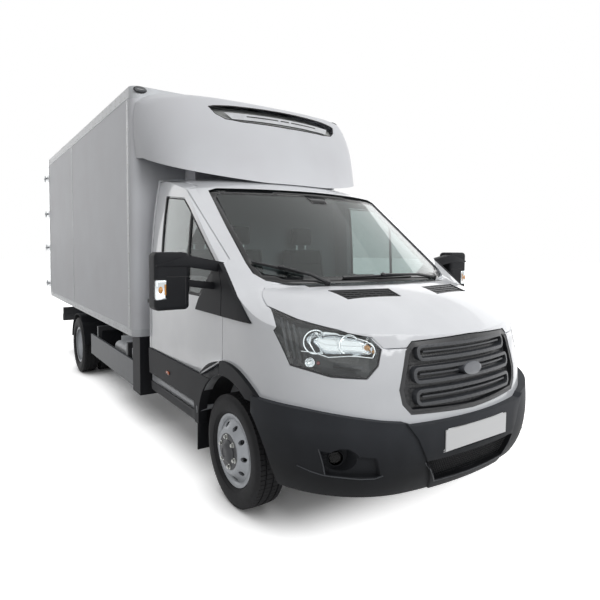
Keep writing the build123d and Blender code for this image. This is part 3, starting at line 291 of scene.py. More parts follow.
def make_metal(name, hex_code, roughness, line_mm, stretch=(1, 1, 1), metallic=1.0):
    """A metal whose roughness follows fine lines, line_mm apart before they are stretched."""
    material, tree, shader = new_material(name, **{"Metallic": metallic, "Base Color": colour(hex_code)})
    lines = grain(tree, line_mm, 2.0, stretch)
    tree.links.new(between(tree, lines, roughness*0.8, roughness*1.25), shader.inputs["Roughness"])
    bumped(tree, shader, lines, 0.02, 0.3)
    return material


ALUMINIUM = make_metal("extruded_aluminium", "#C3C6CA", 0.38, 3, (1, 0.05, 1))
WHEEL_SILVER = make_metal("silver_wheel_enamel", "#95989C", 0.42, 18, metallic=0.55)
ZINC = make_metal("zinc_plated_steel", "#B4B5B2", 0.35, 4)
CHROME = make_metal("vapour_chrome", "#E4E6E8", 0.06, 30)
STAINLESS = make_metal("brushed_stainless_steel", "#C9CBCC", 0.28, 2, (0.05, 0.05, 1))
print("made", [made.name for made in (ALUMINIUM, WHEEL_SILVER, ZINC, CHROME, STAINLESS)])

# %% [markdown]
# ## Tyre rubber
# Tyre rubber is carbon black in rubber: almost no colour, a dull sheen, and grey dust in patches a few centimetres
# across.

# %% Tyre rubber


def make_rubber():
    material, tree, shader = new_material("carbon_black_rubber", **{"Roughness": 0.72, "Specular IOR Level": 0.25})
    dust = between(tree, grain(tree, 35, 4.0), 0.0, 1.0, 0.45, 0.8)
    tree.links.new(two_tone(tree, dust, "#101012", "#1C1C1F"), shader.inputs["Base Color"])
    bumped(tree, shader, grain(tree, 1.6, 1.0), 0.1, 0.4)
    return material


RUBBER = make_rubber()
print("made", RUBBER.name)

# %% [markdown]
# ## Glass and clear lenses
# A car's window lets most light straight through and mirrors a little, more at a shallow angle. Mixing a
# Transparent shader with a Glossy one does just that, and unlike a refracting glass it lets the lamps light
# the cabin. The share of mirror grows with the fifth power of the slant, as on real glass. It is worked out
# from Facing, because the Fresnel node takes the far face of a straight-through pane for a total mirror.
# The tint is light, because each pane has two faces and light pays it twice.

# %% Panes and lenses


def make_pane(name, tint, mirror_at_front, roughness=0.01):
    """A clear sheet that mirrors a share mirror_at_front seen square on, and most at a shallow angle."""
    material = bpy.data.materials.new(name)
    material.use_nodes = True
    tree = material.node_tree
    tree.nodes.clear()
    through = add(tree, "ShaderNodeBsdfTransparent", {"Color": colour(tint)})
    mirror = add(tree, "ShaderNodeBsdfGlossy", {"Color": colour("#FFFFFF"), "Roughness": roughness})
    slant = add(tree, "ShaderNodeLayerWeight").outputs["Facing"]
    steep = add(tree, "ShaderNodeMath", {0: slant, 1: 5.0}, operation="POWER")
    share = add(tree, "ShaderNodeMapRange", {"Value": steep.outputs[0], "To Min": mirror_at_front, "To Max": 0.9})
    mix = add(tree, "ShaderNodeMixShader", {0: share.outputs[0], 1: through.outputs[0], 2: mirror.outputs[0]})
    add(tree, "ShaderNodeOutputMaterial", {"Surface": mix.outputs[0]})
    return material


LAMINATED_GLASS = make_pane("laminated_glass", "#DBE1E0", 0.035)
DOOR_GLASS = make_pane("tempered_glass", "#D5DCDB", 0.035)
CLEAR_LENS = make_pane("clear_polycarbonate", "#F4F6F6", 0.03)
RED_LENS = make_plain("red_acrylic", "#A01820", 0.15, 30, **{"Coat Weight": 0.6})
ORANGE_LENS = make_plain("orange_acrylic", "#D9641C", 0.18, 30, **{"Coat Weight": 0.6})
LAMP_GREY = make_plain("grey_lamp_glass", "#4C4F53", 0.12, 30, **{"Coat Weight": 0.6})
SLOT_GREY = make_plain("pale_slot_lining", "#B4B6B4", 0.6, 60)
WHITE_LENS = make_plain("white_acrylic", "#D8DADB", 0.18, 30, **{"Coat Weight": 0.6})
MIRROR_GLASS = make_metal("silvered_glass", "#D8DCDE", 0.02, 400)
SMOKED_LENS = make_pane("smoked_polycarbonate", "#6A6C6E", 0.012, 0.2)
print("made", [made.name for made in (LAMINATED_GLASS, DOOR_GLASS, CLEAR_LENS, SMOKED_LENS)], "and coloured lenses")

# %% [markdown]
# ## Seat cloth
# The seats wear a flat woven polyester. The weave is drawn with two crossed waves, four millimetres
# apart where the real thread is about one, so that it still shows from a few steps away. Cloth also has a
# soft sheen at shallow angles.

# %% Woven cloth


def make_cloth(name, dark, light):
    """A woven cloth with dark hollows and light threads."""
    material, tree, shader = new_material(name, **{"Roughness": 0.85, "Sheen Weight": 0.25})
    place = add(tree, "ShaderNodeTexCoord").outputs["Object"]
    threads = []
    for direction in ("X", "Z"):
        wave = add(tree, "ShaderNodeTexWave", {"Vector": place, "Scale": 0.314/(4*MM), "Distortion": 0.6},
                   bands_direction=direction)
        threads.append(wave.outputs["Fac"])
    weave = add(tree, "ShaderNodeMath", {0: threads[0], 1: threads[1]}, operation="MULTIPLY")
    tree.links.new(two_tone(tree, weave.outputs[0], dark, light), shader.inputs["Base Color"])
    bumped(tree, shader, weave.outputs[0], 0.5, 0.5)
    return material


SEAT_CLOTH = make_cloth("woven_polyester", "#17181B", "#26282C")
ROOF_LINING = make_cloth("pale_roof_lining", "#8C8F92", "#9A9DA0")
print("made", SEAT_CLOTH.name, "and", ROOF_LINING.name)

# %% [markdown]
# ## Shaping helpers
# New pieces start as a cube, a cone or a bare profile, and bmesh operators do the rest. Each helper adds
# one shape to a bmesh, in millimetres as measured by `at`, so one piece can be put together from several.

# %% Blocks, bars and turned shapes


def round_edges(bm, verts, rounding, segments):
    """Rounds every edge that meets one of the corners, by rounding mm."""
    edges = list({edge for vert in verts for edge in vert.link_edges})
    bmesh.ops.bevel(bm, geom=edges, offset=rounding*MM, segments=segments, profile=0.5, affect="EDGES", material=-1,
                    clamp_overlap=True)


def add_block(bm, corner, opposite, rounding=0.0, segments=2):
    """A block between two opposite corners in mm, in any order, with its edges rounded."""
    a, b = at(*corner), at(*opposite)
    made = bmesh.ops.create_cube(bm, size=1.0)["verts"]
    bmesh.ops.scale(bm, vec=[abs(length) for length in b - a], verts=made)
    bmesh.ops.translate(bm, vec=(a + b)/2, verts=made)
    if rounding:
        round_edges(bm, made, rounding, segments)


def add_slab(bm, outline, travel, rounding, segments=2):
    """A flat outline of places in mm, extruded by travel in mm, with rounded edges."""
    face = bm.faces.new([bm.verts.new(at(*place)) for place in outline])
    made = bmesh.ops.extrude_face_region(bm, geom=[face])["geom"]
    moved = [item for item in made if isinstance(item, bmesh.types.BMVert)]
    bmesh.ops.translate(bm, verts=moved, vec=Vector(travel)*MM)
    round_edges(bm, list(face.verts) + moved, rounding, segments)


def add_bar(bm, start, end, radius, sides=16, end_radius=None):
    """A round bar, or a cone, between two places in mm."""
    a, b = at(*start), at(*end)
    turn = (b - a).to_track_quat("Z", "Y").to_matrix().to_4x4()
    matrix = Matrix.Translation((a + b)/2) @ turn
    far = radius if end_radius is None else end_radius
    bmesh.ops.create_cone(bm, cap_ends=True, segments=sides, radius1=radius*MM, radius2=far*MM,
                          depth=(b - a).length, matrix=matrix)


def add_ball(bm, centre, radius, scale=(1, 1, 1), segments=16):
    """A ball or an egg about a place in mm."""
    matrix = Matrix.Translation(at(*centre)) @ Matrix.Diagonal((*scale, 1))
    bmesh.ops.create_uvsphere(bm, u_segments=segments, v_segments=segments//2, radius=radius*MM, matrix=matrix)


def add_turned(bm, centre, axis, profile, steps, closed=True):
    """A profile of (distance along axis, radius) in mm, spun about an axis through centre."""
    middle = at(*centre)
    along = Vector(axis).normalized()
    side = along.orthogonal().normalized()
    verts = [bm.verts.new(middle + along*(d*MM) + side*(r*MM)) for d, r in profile]
    last = len(verts) if closed else len(verts) - 1
    edges = [bm.edges.new((verts[i], verts[(i + 1) % len(verts)])) for i in range(last)]
    bmesh.ops.spin(bm, geom=verts + edges, cent=middle, axis=along, dvec=(0, 0, 0), angle=2*pi, steps=steps,
                   use_merge=True, use_duplicate=False)


sample = bmesh.new()
add_block(sample, (0, 0, 0), (100, 100, 100), 10)
print("a rounded cube has", len(sample.faces), "faces")
sample.free()

# %% [markdown]
# ## From a bmesh to a piece
# A bmesh is only a shape. To become a piece it is closed, turned outward, given its finish and hung on the
# body it moves with, so that the lock bar swings with its door. A live bevel rounds what no operator has
# rounded yet: a real edge always catches a line of light, while a perfectly sharp one looks cut from paper.

# %% Finishing a piece
TOUCHING = 0.00002


def put_in_scene(name, bm, materials, smooth):
    """An object from a bmesh, smooth where faces meet at less than smooth degrees."""
    mesh = bpy.data.meshes.new(name)
    bm.to_mesh(mesh)
    bm.free()
    piece = bpy.data.objects.new(name, mesh)
    bpy.context.scene.collection.objects.link(piece)
    for material in materials:
        mesh.materials.append(material)
    if smooth:
        mesh.shade_smooth()
        mesh.set_sharp_from_angle(angle=radians(smooth))
    return piece


def soften(piece, width, corner):
    """A live bevel, width mm wide, on the edges sharper than corner degrees."""
    edge = piece.modifiers.new("edge", "BEVEL")
    edge.width = width*MM
    edge.segments = 2
    edge.limit_method = "ANGLE"
    edge.angle_limit = radians(corner)


def thicken(piece, thick, offset=0.0):
    """A live wall, thick mm, centred on the sheet or behind it."""
    wall = piece.modifiers.new("wall", "SOLIDIFY")
    wall.thickness = thick*MM
    wall.offset = offset


def finish_piece(name, bm, body, material, smooth=35, bevel=0.0, replaces=()):
    """Writes a bmesh as a piece: closed, outward, smooth under an angle, riding on a body."""
    bmesh.ops.remove_doubles(bm, verts=bm.verts, dist=TOUCHING)
    bmesh.ops.recalc_face_normals(bm, faces=bm.faces)
    piece = put_in_scene(name, bm, material if isinstance(material, list) else [material], smooth)
    if bevel:
        soften(piece, bevel, 40)
    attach(piece, body)
    if replaces:
        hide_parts(*replaces)
    return piece


print("corners closer than", round(TOUCHING/MM, 3), "mm are joined")

# %% [markdown]
# ## Laying a flat outline on a curved body
# Borders, seals and panel seams lie on curved sheet metal. An outline is drawn flat in front of the
# truck, or beside it, sliced into small cells with `bisect_plane`, and every corner is then dropped onto
# the surface along the view. Where a straight drop misses the surface, the nearest point is taken.

# %% Draped outlines


def surface_of(*names):
    """A searchable surface of one or more solids."""
    verts, faces = [], []
    for name in names:
        mesh = nodes[name].data
        start = len(verts)
        verts += [v.co.copy() for v in mesh.vertices]
        faces += [[start + i for i in p.vertices] for p in mesh.polygons]
    return BVHTree.FromPolygons(verts, faces)


def flat_face(bm, points, view):
    """A face from an outline in mm: (x, z) for the front, (x, y) for the top, (y, z) for left and right."""
    if view == "front":
        places = [at(x, -3000, z) for x, z in points]
    elif view == "top":
        places = [at(x, y, 4000) for x, y in points]
    else:
        places = [at(3000 if view == "left" else -3000, y, z) for y, z in points]
    face = bm.faces.new([bm.verts.new(p) for p in places])
    bm.normal_update()
    return face


def slice_up(bm, view, step):
    """Cuts flat faces into cells of about step mm."""
    along_x, along_y, along_z = Vector((1, 0, 0)), Vector((0, 1, 0)), Vector((0, 0, 1))
    directions = {"front": (along_x, along_z), "top": (along_x, along_y)}.get(view, (along_y, along_z))
    for direction in directions:
        spots = [vert.co.dot(direction) for vert in bm.verts]
        low, high = min(spots), max(spots)
        count = max(1, int((high - low)/(step*MM)))
        for k in range(1, count):
            cut = direction*(low + (high - low)*k/count)
            geometry = bm.verts[:] + bm.edges[:] + bm.faces[:]
            bmesh.ops.bisect_plane(bm, geom=geometry, dist=0.00001, plane_co=cut, plane_no=direction)


def drop_onto(bm, surface, view, lift):
    """Moves every corner along the view onto a surface, lifted off it by lift mm."""
    direction = {"front": Vector((0, 1, 0)), "left": Vector((-1, 0, 0)), "right": Vector((1, 0, 0)),
                 "top": Vector((0, 0, -1))}[view]
    for vert in bm.verts:
        hit, normal, _, _ = surface.ray_cast(vert.co, direction)
        if hit is None:
            hit, normal, _, _ = surface.find_nearest(vert.co + direction*(2.0 if view != "front" else 2.2))
        if normal.dot(direction) > 0:
            normal = -normal
        vert.co = hit + normal*(lift*MM)


def cells(outlines, view, step, band=0.0):
    """Flat outlines in mm, or only a band inside their edges, cut into cells of about step mm."""
    bm = bmesh.new()
    for points in outlines:
        face = flat_face(bm, points, view)
        if band:
            bmesh.ops.inset_individual(bm, faces=[face], thickness=band*MM, use_even_offset=True)
            bmesh.ops.delete(bm, geom=[face], context="FACES")
    slice_up(bm, view, step)
    bmesh.ops.remove_doubles(bm, verts=bm.verts, dist=0.0002)
    return bm


def draped(name, points, view, surface, body, material, lift=1.0, thick=2.0, band=0.0, step=45):
    """A piece made from a flat outline, or a band just inside it, laid on a surface."""
    bm = cells([points], view, step, band)
    drop_onto(bm, surface, view, lift)
    thicken(finish_piece(name, bm, body, material), thick)


sample = cells([[(0, 500), (300, 500), (300, 800), (0, 800)]], "front", 100)
print("a square of 300 mm gives", len(sample.faces), "cells")
sample.free()

# %% [markdown]
# ## Smooth skins
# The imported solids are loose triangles, which shade in flat facets. A copy of each one is merged at its
# corners, so that curved panels shade smoothly and only real edges stay sharp, and it stands in for the
# solid. Its shape is the solid's own, to the last corner. A small live bevel catches light on the edges.

# %% Dress a solid


def joined(node):
    """A bmesh of a solid whose loose triangles are joined at their corners."""
    bm = bmesh.new()
    bm.from_mesh(nodes[node].data)
    bmesh.ops.remove_doubles(bm, verts=bm.verts, dist=TOUCHING/2)
    return bm


def dress(node, material, bevel):
    """A joined, smoothly shaded copy of a solid, with its finish, in the solid's place."""
    piece = put_in_scene(node + "_skin", joined(node), [material], 30)
    if bevel:
        soften(piece, bevel, 35)
    body = next(key for key, members in frame["record"]["behaviour"]["bodies"].items() if node in members)
    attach(piece, body)
    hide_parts(node)
    return piece


sample = joined("bonnet")
print("the bonnet's", len(nodes["bonnet"].data.vertices), "loose corners become", len(sample.verts))
sample.free()

# %% [markdown]
# ## The camera
# The camera stands off the truck's right front corner, a little over bonnet height, with a wide-angle lens
# about three metres away. Yaw, pitch and roll give its three axes, and the shift keeps upright edges
# upright, as a view camera does.

# %% Camera
CAMERA_PLACE = at(-2333, -2615, 1573)
CAMERA_YAW = radians(33.626)
CAMERA_PITCH = radians(-3.305)
CAMERA_ROLL = radians(0.385)

forward = Vector((sin(CAMERA_YAW)*cos(CAMERA_PITCH), cos(CAMERA_YAW)*cos(CAMERA_PITCH), sin(CAMERA_PITCH)))
level = forward.cross(Vector((0, 0, 1))).normalized()
upright = level.cross(forward)
right = level*cos(CAMERA_ROLL) + upright*sin(CAMERA_ROLL)
up = upright*cos(CAMERA_ROLL) - level*sin(CAMERA_ROLL)
lens = bpy.data.cameras.new("camera")
lens.sensor_width = 36
lens.lens = 29.59
lens.shift_x = 0.0269
lens.shift_y = -0.0388
camera = bpy.data.objects.new("camera", lens)
camera.matrix_world = Matrix.Translation(CAMERA_PLACE) @ Matrix((right, up, -forward)).transposed().to_4x4()
bpy.context.scene.collection.objects.link(camera)
bpy.context.scene.camera = camera
print("camera", round(forward.angle(Vector((0, 1, 0)))*180/pi, 1), "degrees off the truck's length")

# %% [markdown]
# ## A white studio that stays plain
# A pale studio floor runs out to a white background. If both were truly as bright as they look, they would
# wash the truck out from every side. So they are white only for the rays that see them, in the camera, in a
# mirror or through glass, while the light they send out stays at a plain level.

# %% Rays that see


def rays_that_see(tree):
    """One for rays that end in the eye or go through glass or off a mirror, none for light itself."""
    path = add(tree, "ShaderNodeLightPath")
    eye = add(tree, "ShaderNodeMath", {0: path.outputs["Is Camera Ray"], 1: path.outputs["Is Transmission Ray"]},
              operation="MAXIMUM")
    return add(tree, "ShaderNodeMath", {0: eye.outputs[0], 1: path.outputs["Is Glossy Ray"]},
               operation="MAXIMUM").outputs[0]


FLOOR_GLOW = 0.78
FLOOR_FOR_LIGHT, FLOOR_SEEN = "#4E4E4E", "#F8F8F8"
FOOTPRINT_HALF = (0.68, 2.72, 0)
WORLD_LEVEL = 0.32
print("the background lights the truck at", WORLD_LEVEL, "of its seen level")

# %% [markdown]
# ## The floor
# The floor glows white, but not under the truck or against a tyre: there the glow drops as a painted soft shadow, and
# the floor has no horizon.
# How far a place is from the truck's footprint is worked out in the material, from Object coordinates:
# what is left of |x| and |y| beyond the footprint's half lengths is the way to its edge.

# %% Studio floor


def make_floor():
    """A pale floor that glows white for the rays that see it, less near the truck as a painted shadow."""
    bm = bmesh.new()
    bmesh.ops.create_grid(bm, x_segments=2, y_segments=2, size=60)
    mesh = bpy.data.meshes.new("studio_floor")
    bm.to_mesh(mesh)
    bm.free()
    floor = bpy.data.objects.new("studio_floor", mesh)
    bpy.context.scene.collection.objects.link(floor)
    material = bpy.data.materials.new("matt_studio_white")
    material.use_nodes = True
    tree = material.node_tree
    tree.nodes.clear()
    seen = rays_that_see(tree)
    matt = add(tree, "ShaderNodeBsdfDiffuse", {"Color": two_tone(tree, seen, FLOOR_FOR_LIGHT, FLOOR_SEEN)})
    place = add(tree, "ShaderNodeTexCoord").outputs["Object"]
    folded = add(tree, "ShaderNodeVectorMath", {0: place}, operation="ABSOLUTE")
    beyond = add(tree, "ShaderNodeVectorMath", {0: folded.outputs[0], 1: FOOTPRINT_HALF}, operation="SUBTRACT")
    outside = add(tree, "ShaderNodeVectorMath", {0: beyond.outputs[0], 1: (0, 0, 0)}, operation="MAXIMUM")
    away = add(tree, "ShaderNodeVectorMath", {0: outside.outputs[0]}, operation="LENGTH").outputs["Value"]
    # The glow is low over the truck's footprint and rises within 0.45 m of its edge: a painted soft shadow.
    near = add(tree, "ShaderNodeMapRange", {"Value": away, "From Max": 0.45, "To Min": 0.06, "To Max": FLOOR_GLOW},
               interpolation_type="SMOOTHSTEP")
    # Where ambient occlusion finds the truck close, the glow drops further: a painted contact shadow.
    open_sky = add(tree, "ShaderNodeAmbientOcclusion", {"Distance": 0.45}, samples=8).outputs["AO"]
    painted_contact_shadow = add(tree, "ShaderNodeMapRange", {"Value": open_sky, "From Min": 0.3, "From Max": 0.8})
    near = add(tree, "ShaderNodeMath", {0: near.outputs[0], 1: painted_contact_shadow.outputs[0]}, operation="MULTIPLY")
    far = add(tree, "ShaderNodeMapRange", {"Value": away, "From Min": 2.0, "From Max": 10.0,
                                           "To Max": 1.0 - FLOOR_GLOW})
    fade = add(tree, "ShaderNodeMath", {0: near.outputs[0], 1: far.outputs[0]})
    lift = add(tree, "ShaderNodeMath", {0: seen, 1: fade.outputs[0]}, operation="MULTIPLY")
    glow = add(tree, "ShaderNodeEmission", {"Color": colour("#FFFFFF"), "Strength": lift.outputs[0]})
    both = add(tree, "ShaderNodeAddShader", {0: matt.outputs[0], 1: glow.outputs[0]})
    add(tree, "ShaderNodeOutputMaterial", {"Surface": both.outputs[0]})
    mesh.materials.append(material)


make_floor()
print("footprint", [round(2*half, 2) for half in FOOTPRINT_HALF[:2]], "m")

# %% [markdown]
# ## Background and lamps
# A large soft lamp high in front makes the nose brighter than the side. Four weaker ones stand right and
# left of the truck, above and behind it, so that it reads from every side. They are so large that no pane
# mirrors them as a bright square.

# %% Background and lamps


def make_world(strength):
    """A background that looks white and lights the truck with only its strength."""
    world = bpy.data.worlds.new("studio")
    bpy.context.scene.world = world
    world.use_nodes = True
    tree = world.node_tree
    tree.nodes.clear()
    level = add(tree, "ShaderNodeMapRange", {"Value": rays_that_see(tree), "To Min": strength, "To Max": 1.0})
    sky = add(tree, "ShaderNodeBackground", {"Color": colour("#FFFFFF"), "Strength": level.outputs[0]})
    add(tree, "ShaderNodeOutputWorld", {"Surface": sky.outputs[0]})


def make_lamp(name, place, aim, size, power):
    """A soft lamp, size in metres and power in watts, between two places in mm."""
    light = bpy.data.lights.new(name, "AREA")
    light.shape = "RECTANGLE"
    light.size, light.size_y = size
    light.energy = power
    lamp = bpy.data.objects.new(name, light)
    lamp.location = at(*place)
    lamp.rotation_euler = (at(*aim) - at(*place)).to_track_quat("-Z", "Y").to_euler()
    lamp.visible_camera = False
    bpy.context.scene.collection.objects.link(lamp)


make_world(WORLD_LEVEL)
make_lamp("front_softbox", (1500, -8500, 6000), (0, 1000, 1300), (8, 5), 470)
make_lamp("side_softbox", (-7000, -5000, 4800), (0, 500, 1300), (14, 7), 165)
make_lamp("top_softbox", (0, 1500, 8500), (0, 1800, 0), (14, 9), 100)
make_lamp("left_softbox", (9500, 2500, 3500), (0, 2500, 1300), (14, 6), 260)
make_lamp("rear_softbox", (0, 14500, 4500), (0, 6000, 1500), (14, 7), 420)
bpy.context.scene.view_settings.view_transform = "Standard"
print(len(bpy.data.lights), "lamps")

# %% [markdown]
# ## Finishes for the solids
# Most solids already have the right shape, and need only their finish. A table says which finish each one
# gets, and how wide its softened edge is in millimetres. Sheet metal folds have a few millimetres,
# machined parts less.

# %% Which solid gets which finish
# solid: finish, edge in mm
FINISHES = {
    "cab_body": (ENAMEL, 3), "bonnet": (ENAMEL, 2.5), "cab_door_left": (ENAMEL, 2.5),
    "cab_door_right": (ENAMEL, 2.5), "windscreen": (LAMINATED_GLASS, 0), "door_glass_left": (DOOR_GLASS, 0),
    "door_glass_right": (DOOR_GLASS, 0), "front_bumper": (BUMPER_PLASTIC, 4), "grille": (BLACK_ABS, 2),
    "side_cladding": (BLACK_PLASTIC, 3), "arch_liners": (LINER_PLASTIC, 0), "dashboard": (DASH_PLASTIC, 12),
    "mirror_left": (BLACK_PLASTIC, 4), "mirror_right": (BLACK_PLASTIC, 4), "steering_wheel": (BLACK_ABS, 2),
    "box_floor": (ALUMINIUM, 2), "box_front_wall": (GELCOAT, 0), "box_side_left": (GELCOAT, 0),
    "box_side_right": (GELCOAT, 0), "box_roof": (ALUMINIUM, 4), "rear_portal": (STAINLESS, 2),
    "rear_door_left": (GELCOAT, 2), "rear_door_right": (GELCOAT, 2), "air_fairing": (GELCOAT, 4),
    "condenser_unit": (CASE_PAINT, 4), "evaporator": (CASE_PAINT, 8), "chassis_frame": (CHASSIS_PAINT, 3),
    "front_suspension": (CHASSIS_PAINT, 1.5), "rear_axle": (CHASSIS_PAINT, 2), "leaf_springs": (CHASSIS_PAINT, 1),
    "drive_train": (CASTING, 6), "radiator": (ALUMINIUM, 2), "exhaust": (STAINLESS, 2),
    "fuel_tank": (TANK_PLASTIC, 0), "side_lockers": (BLACK_PLASTIC, 4), "side_guards": (GUARD_PAINT, 3),
    "rear_mudguards": (BLACK_PLASTIC, 1.5), "rear_beam": (CHASSIS_PAINT, 3),
    "front_knuckle_left": (CASTING, 1.5), "front_knuckle_right": (CASTING, 1.5),
    "rim_front_left": (WHEEL_SILVER, 0), "rim_front_right": (WHEEL_SILVER, 0),
    "rim_rear_left": (WHEEL_SILVER, 0), "rim_rear_right": (WHEEL_SILVER, 0),
}
skins = {node: dress(node, finish, edge) for node, (finish, edge) in FINISHES.items()}
print("dressed", len(skins), "solids")

# %% [markdown]
# ## Tyres
# A van tyre is a rounded casing with a tread of ribs and shoulder blocks. The casing is half a section,
# spun about the axle in 72 steps, one for each tread block. Insetting every tread face by itself and
# lifting it then gives all the blocks at once, with the narrow cuts between them.

# %% Spin a tyre and lift its blocks
# distance from the tyre's middle, radius, both in mm: one half of the casing, from bead to tread
TYRE_HALF = [(66, 204), (70, 222), (80, 229), (88, 240), (90, 243), (92, 243), (95, 256), (97, 276), (96, 296),
             (92.5, 312), (91.5, 313), (88, 324), (82, 331)]
TREAD_HALF = [(50, 334), (43, 334), (6, 334.5)]
TREAD_BLOCKS = ((8, 42), (50, 82))
TREAD_STEPS = 72
TREAD_DEPTH = 7.0


def tyre_profile(middle):
    """The whole section of a tyre whose middle plane is at middle mm along the axle."""
    half = TYRE_HALF + TREAD_HALF
    return [(middle + d, r) for d, r in half] + [(middle - d, r) for d, r in reversed(half)]


def add_tyre(bm, x, y):
    """A tyre whose middle plane is at x, on the axle at y."""
    before = set(bm.faces)
    add_turned(bm, (0, y, AXLE_Z/MM), (1, 0, 0), tyre_profile(x), TREAD_STEPS)
    made = [face for face in bm.faces if face not in before]
    bmesh.ops.remove_doubles(bm, verts=list({v for f in made for v in f.verts}), dist=TOUCHING)
    made = [face for face in bm.faces if face not in before]
    bmesh.ops.recalc_face_normals(bm, faces=made)
    tread = []
    for face in made:
        off = abs(face.calc_center_median().x/MM - x)
        if radius_of(face, y) > 331 and any(inner < off < outer for inner, outer in TREAD_BLOCKS):
            tread.append(face)
    bmesh.ops.inset_individual(bm, faces=tread, thickness=1.6*MM, depth=TREAD_DEPTH*MM, use_even_offset=True)


def radius_of(face, y):
    """How far the middle of a face is from the axle at y, in mm."""
    centre = face.calc_center_median() - at(0, y, AXLE_Z/MM)
    return sqrt(centre.y**2 + centre.z**2)/MM


(front_in, _, _), (front_out, _, _) = in_mm(tyre_low), in_mm(tyre_high)
(twin_in, twin_front, _), (twin_out, twin_rear, _) = [in_mm(corner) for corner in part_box("tyres_rear_left")]
REAR_AXLE_Y = (twin_front + twin_rear)/2
FRONT_TYRE_X = (front_in + front_out)/2
TYRE_WIDTH = front_out - front_in
TWIN_X = (twin_in + TYRE_WIDTH/2, twin_out - TYRE_WIDTH/2)
for side, word in SIDES:
    bm = bmesh.new()
    add_tyre(bm, side*FRONT_TYRE_X, 0)
    finish_piece("front_tyre_" + word, bm, "wheel_front_" + word, RUBBER, smooth=40,
                 replaces=["tyre_front_" + word])
    bm = bmesh.new()
    for x in TWIN_X:
        add_tyre(bm, side*x, REAR_AXLE_Y)
    finish_piece("twin_tyres_" + word, bm, "wheels_rear_" + word, RUBBER, smooth=40,
                 replaces=["tyres_rear_" + word])
print("tyres of", round(TYRE_WIDTH), "mm at", round(FRONT_TYRE_X), [round(x) for x in TWIN_X])

# %% [markdown]
# ## Wheel nuts and hubs
# Each wheel is held by six nuts with a loose washer, round a cast hub. In front the hub stands proud of the
# disc. Behind it lies deep in the dished rim of the outer wheel. A nut is a six-sided cone with its top
# edge cut round, and a dark ring of old paint and road film surrounds them all.

# %% Nuts, hub caps and valves
HUB_IRON = make_plain("waxed_hub_iron", "#3B3C3F", 0.5, 25)
BOLT_CIRCLE = 88.0


def add_nut(bm, place, out, size=11.0, height=17.0):
    """A flanged wheel nut that stands on a face and points to out."""
    x, y, z = place
    add_bar(bm, place, (x + out*4, y, z), size + 5, 20)
    add_bar(bm, place, (x + out*height, y, z), size, 6)
    add_bar(bm, (x + out*(height - 1), y, z), (x + out*(height + 4), y, z), size*0.55, 12, size*0.4)


def dress_hub(word, kind, y, face_x, out, body):
    """Nuts and cap on a wheel's mounting face at face_x, pointing to out along x."""
    nuts = bmesh.new()
    for k in range(6):
        turn = 2*pi*k/6 + 0.3
        add_nut(nuts, (face_x, y + BOLT_CIRCLE*cos(turn), AXLE_Z/MM + BOLT_CIRCLE*sin(turn)), out)
    finish_piece(kind + "_wheel_nuts_" + word, nuts, body, ZINC, smooth=30)
    cap = bmesh.new()
    centre = (face_x, y, AXLE_Z/MM)
    add_turned(cap, centre, (out, 0, 0), [(0.3, 0), (0.3, 72), (5, 72), (8, 66), (15, 60), (19, 57), (24, 52),
                                          (28, 44), (30, 30), (26, 27), (25, 0)], 48, closed=False)
    finish_piece(kind + "_hub_cap_" + word, cap, body, HUB_IRON, smooth=35)
    ring = bmesh.new()
    add_turned(ring, centre, (out, 0, 0), [(0.2, 60), (0.2, 109), (1.2, 108), (1.4, 61)], 60)
    finish_piece(kind + "_hub_film_" + word, ring, body, HUB_IRON, smooth=35)


FRONT_FACE_X = 990.0
REAR_FACE_X = 876.5
for side, word in SIDES:
    dress_hub(word, "front", 0, side*FRONT_FACE_X, side, "wheel_front_" + word)
    dress_hub(word, "rear", REAR_AXLE_Y, side*REAR_FACE_X, side, "wheels_rear_" + word)
print("hubs at", FRONT_FACE_X, REAR_FACE_X)

# %% [markdown]
# ## Two finishes on one moulding
# The grille is one moulding in two finishes: a black frame and net, and dark grey rings in front of them.
# A face belongs to a ring where its middle lies between two rounded rectangles, so the skin's own faces
# are given a second material by that test, and the ring edges stay exactly where the solid has them.

# %% Colour the grille's rings and its plain oval
GRILLE_RINGS = [(1038, 372, 84), (926, 405, 84), (814, 400, 84)]
RING_BAR = 17.0
OVAL_Z, OVAL_HALF, OVAL_RISE = 930.0, 74.0, 34.0
OVAL_GREY = make_plain("plain_grey_badge_paint", "#6D7076", 0.3, 60, **{"Coat Weight": 0.6})


def in_rounded_box(x, z, half, height, radius):
    """True inside a rounded rectangle about the origin."""
    dx = max(abs(x) - (half - radius), 0)
    dz = max(abs(z) - (height/2 - radius), 0)
    return abs(x) <= half and abs(z) <= height/2 and dx*dx + dz*dz <= radius*radius


def in_ring(x, z, slack=1.0):
    """True on the bar of one of the grille's rings."""
    for middle, half, height in GRILLE_RINGS:
        hole = height - 2*RING_BAR
        outside = in_rounded_box(x, z - middle, half + slack, height + 2*slack, height*0.42)
        inside = in_rounded_box(x, z - middle, half - RING_BAR - slack, hole - 2*slack, hole*0.42)
        if outside and not inside:
            return True
    return False


grille_mesh = skins["grille"].data
grille_mesh.materials.append(GRILLE_ABS)
grille_mesh.materials.append(OVAL_GREY)
net_faces = 0
for face in grille_mesh.polygons:
    x, _, z = in_mm(face.center)
    if (x/OVAL_HALF)**2 + ((z - OVAL_Z)/OVAL_RISE)**2 < 1.03:
        face.material_index = 2
    elif in_ring(x, z):
        face.material_index = 1
    else:
        net_faces += 1
print("grille faces left black:", net_faces)

# %% [markdown]
# ## Bars and net in the grille
# Inside each ring runs a thin bar, and behind everything lies a fine black net. Both are laid on the
# grille's back plate, which is found by keeping only the solid's faces that are neither ring nor frame.
# The net is a sheet of cells turned to wires with `bmesh.ops.wireframe`.

# %% Ring bars and net


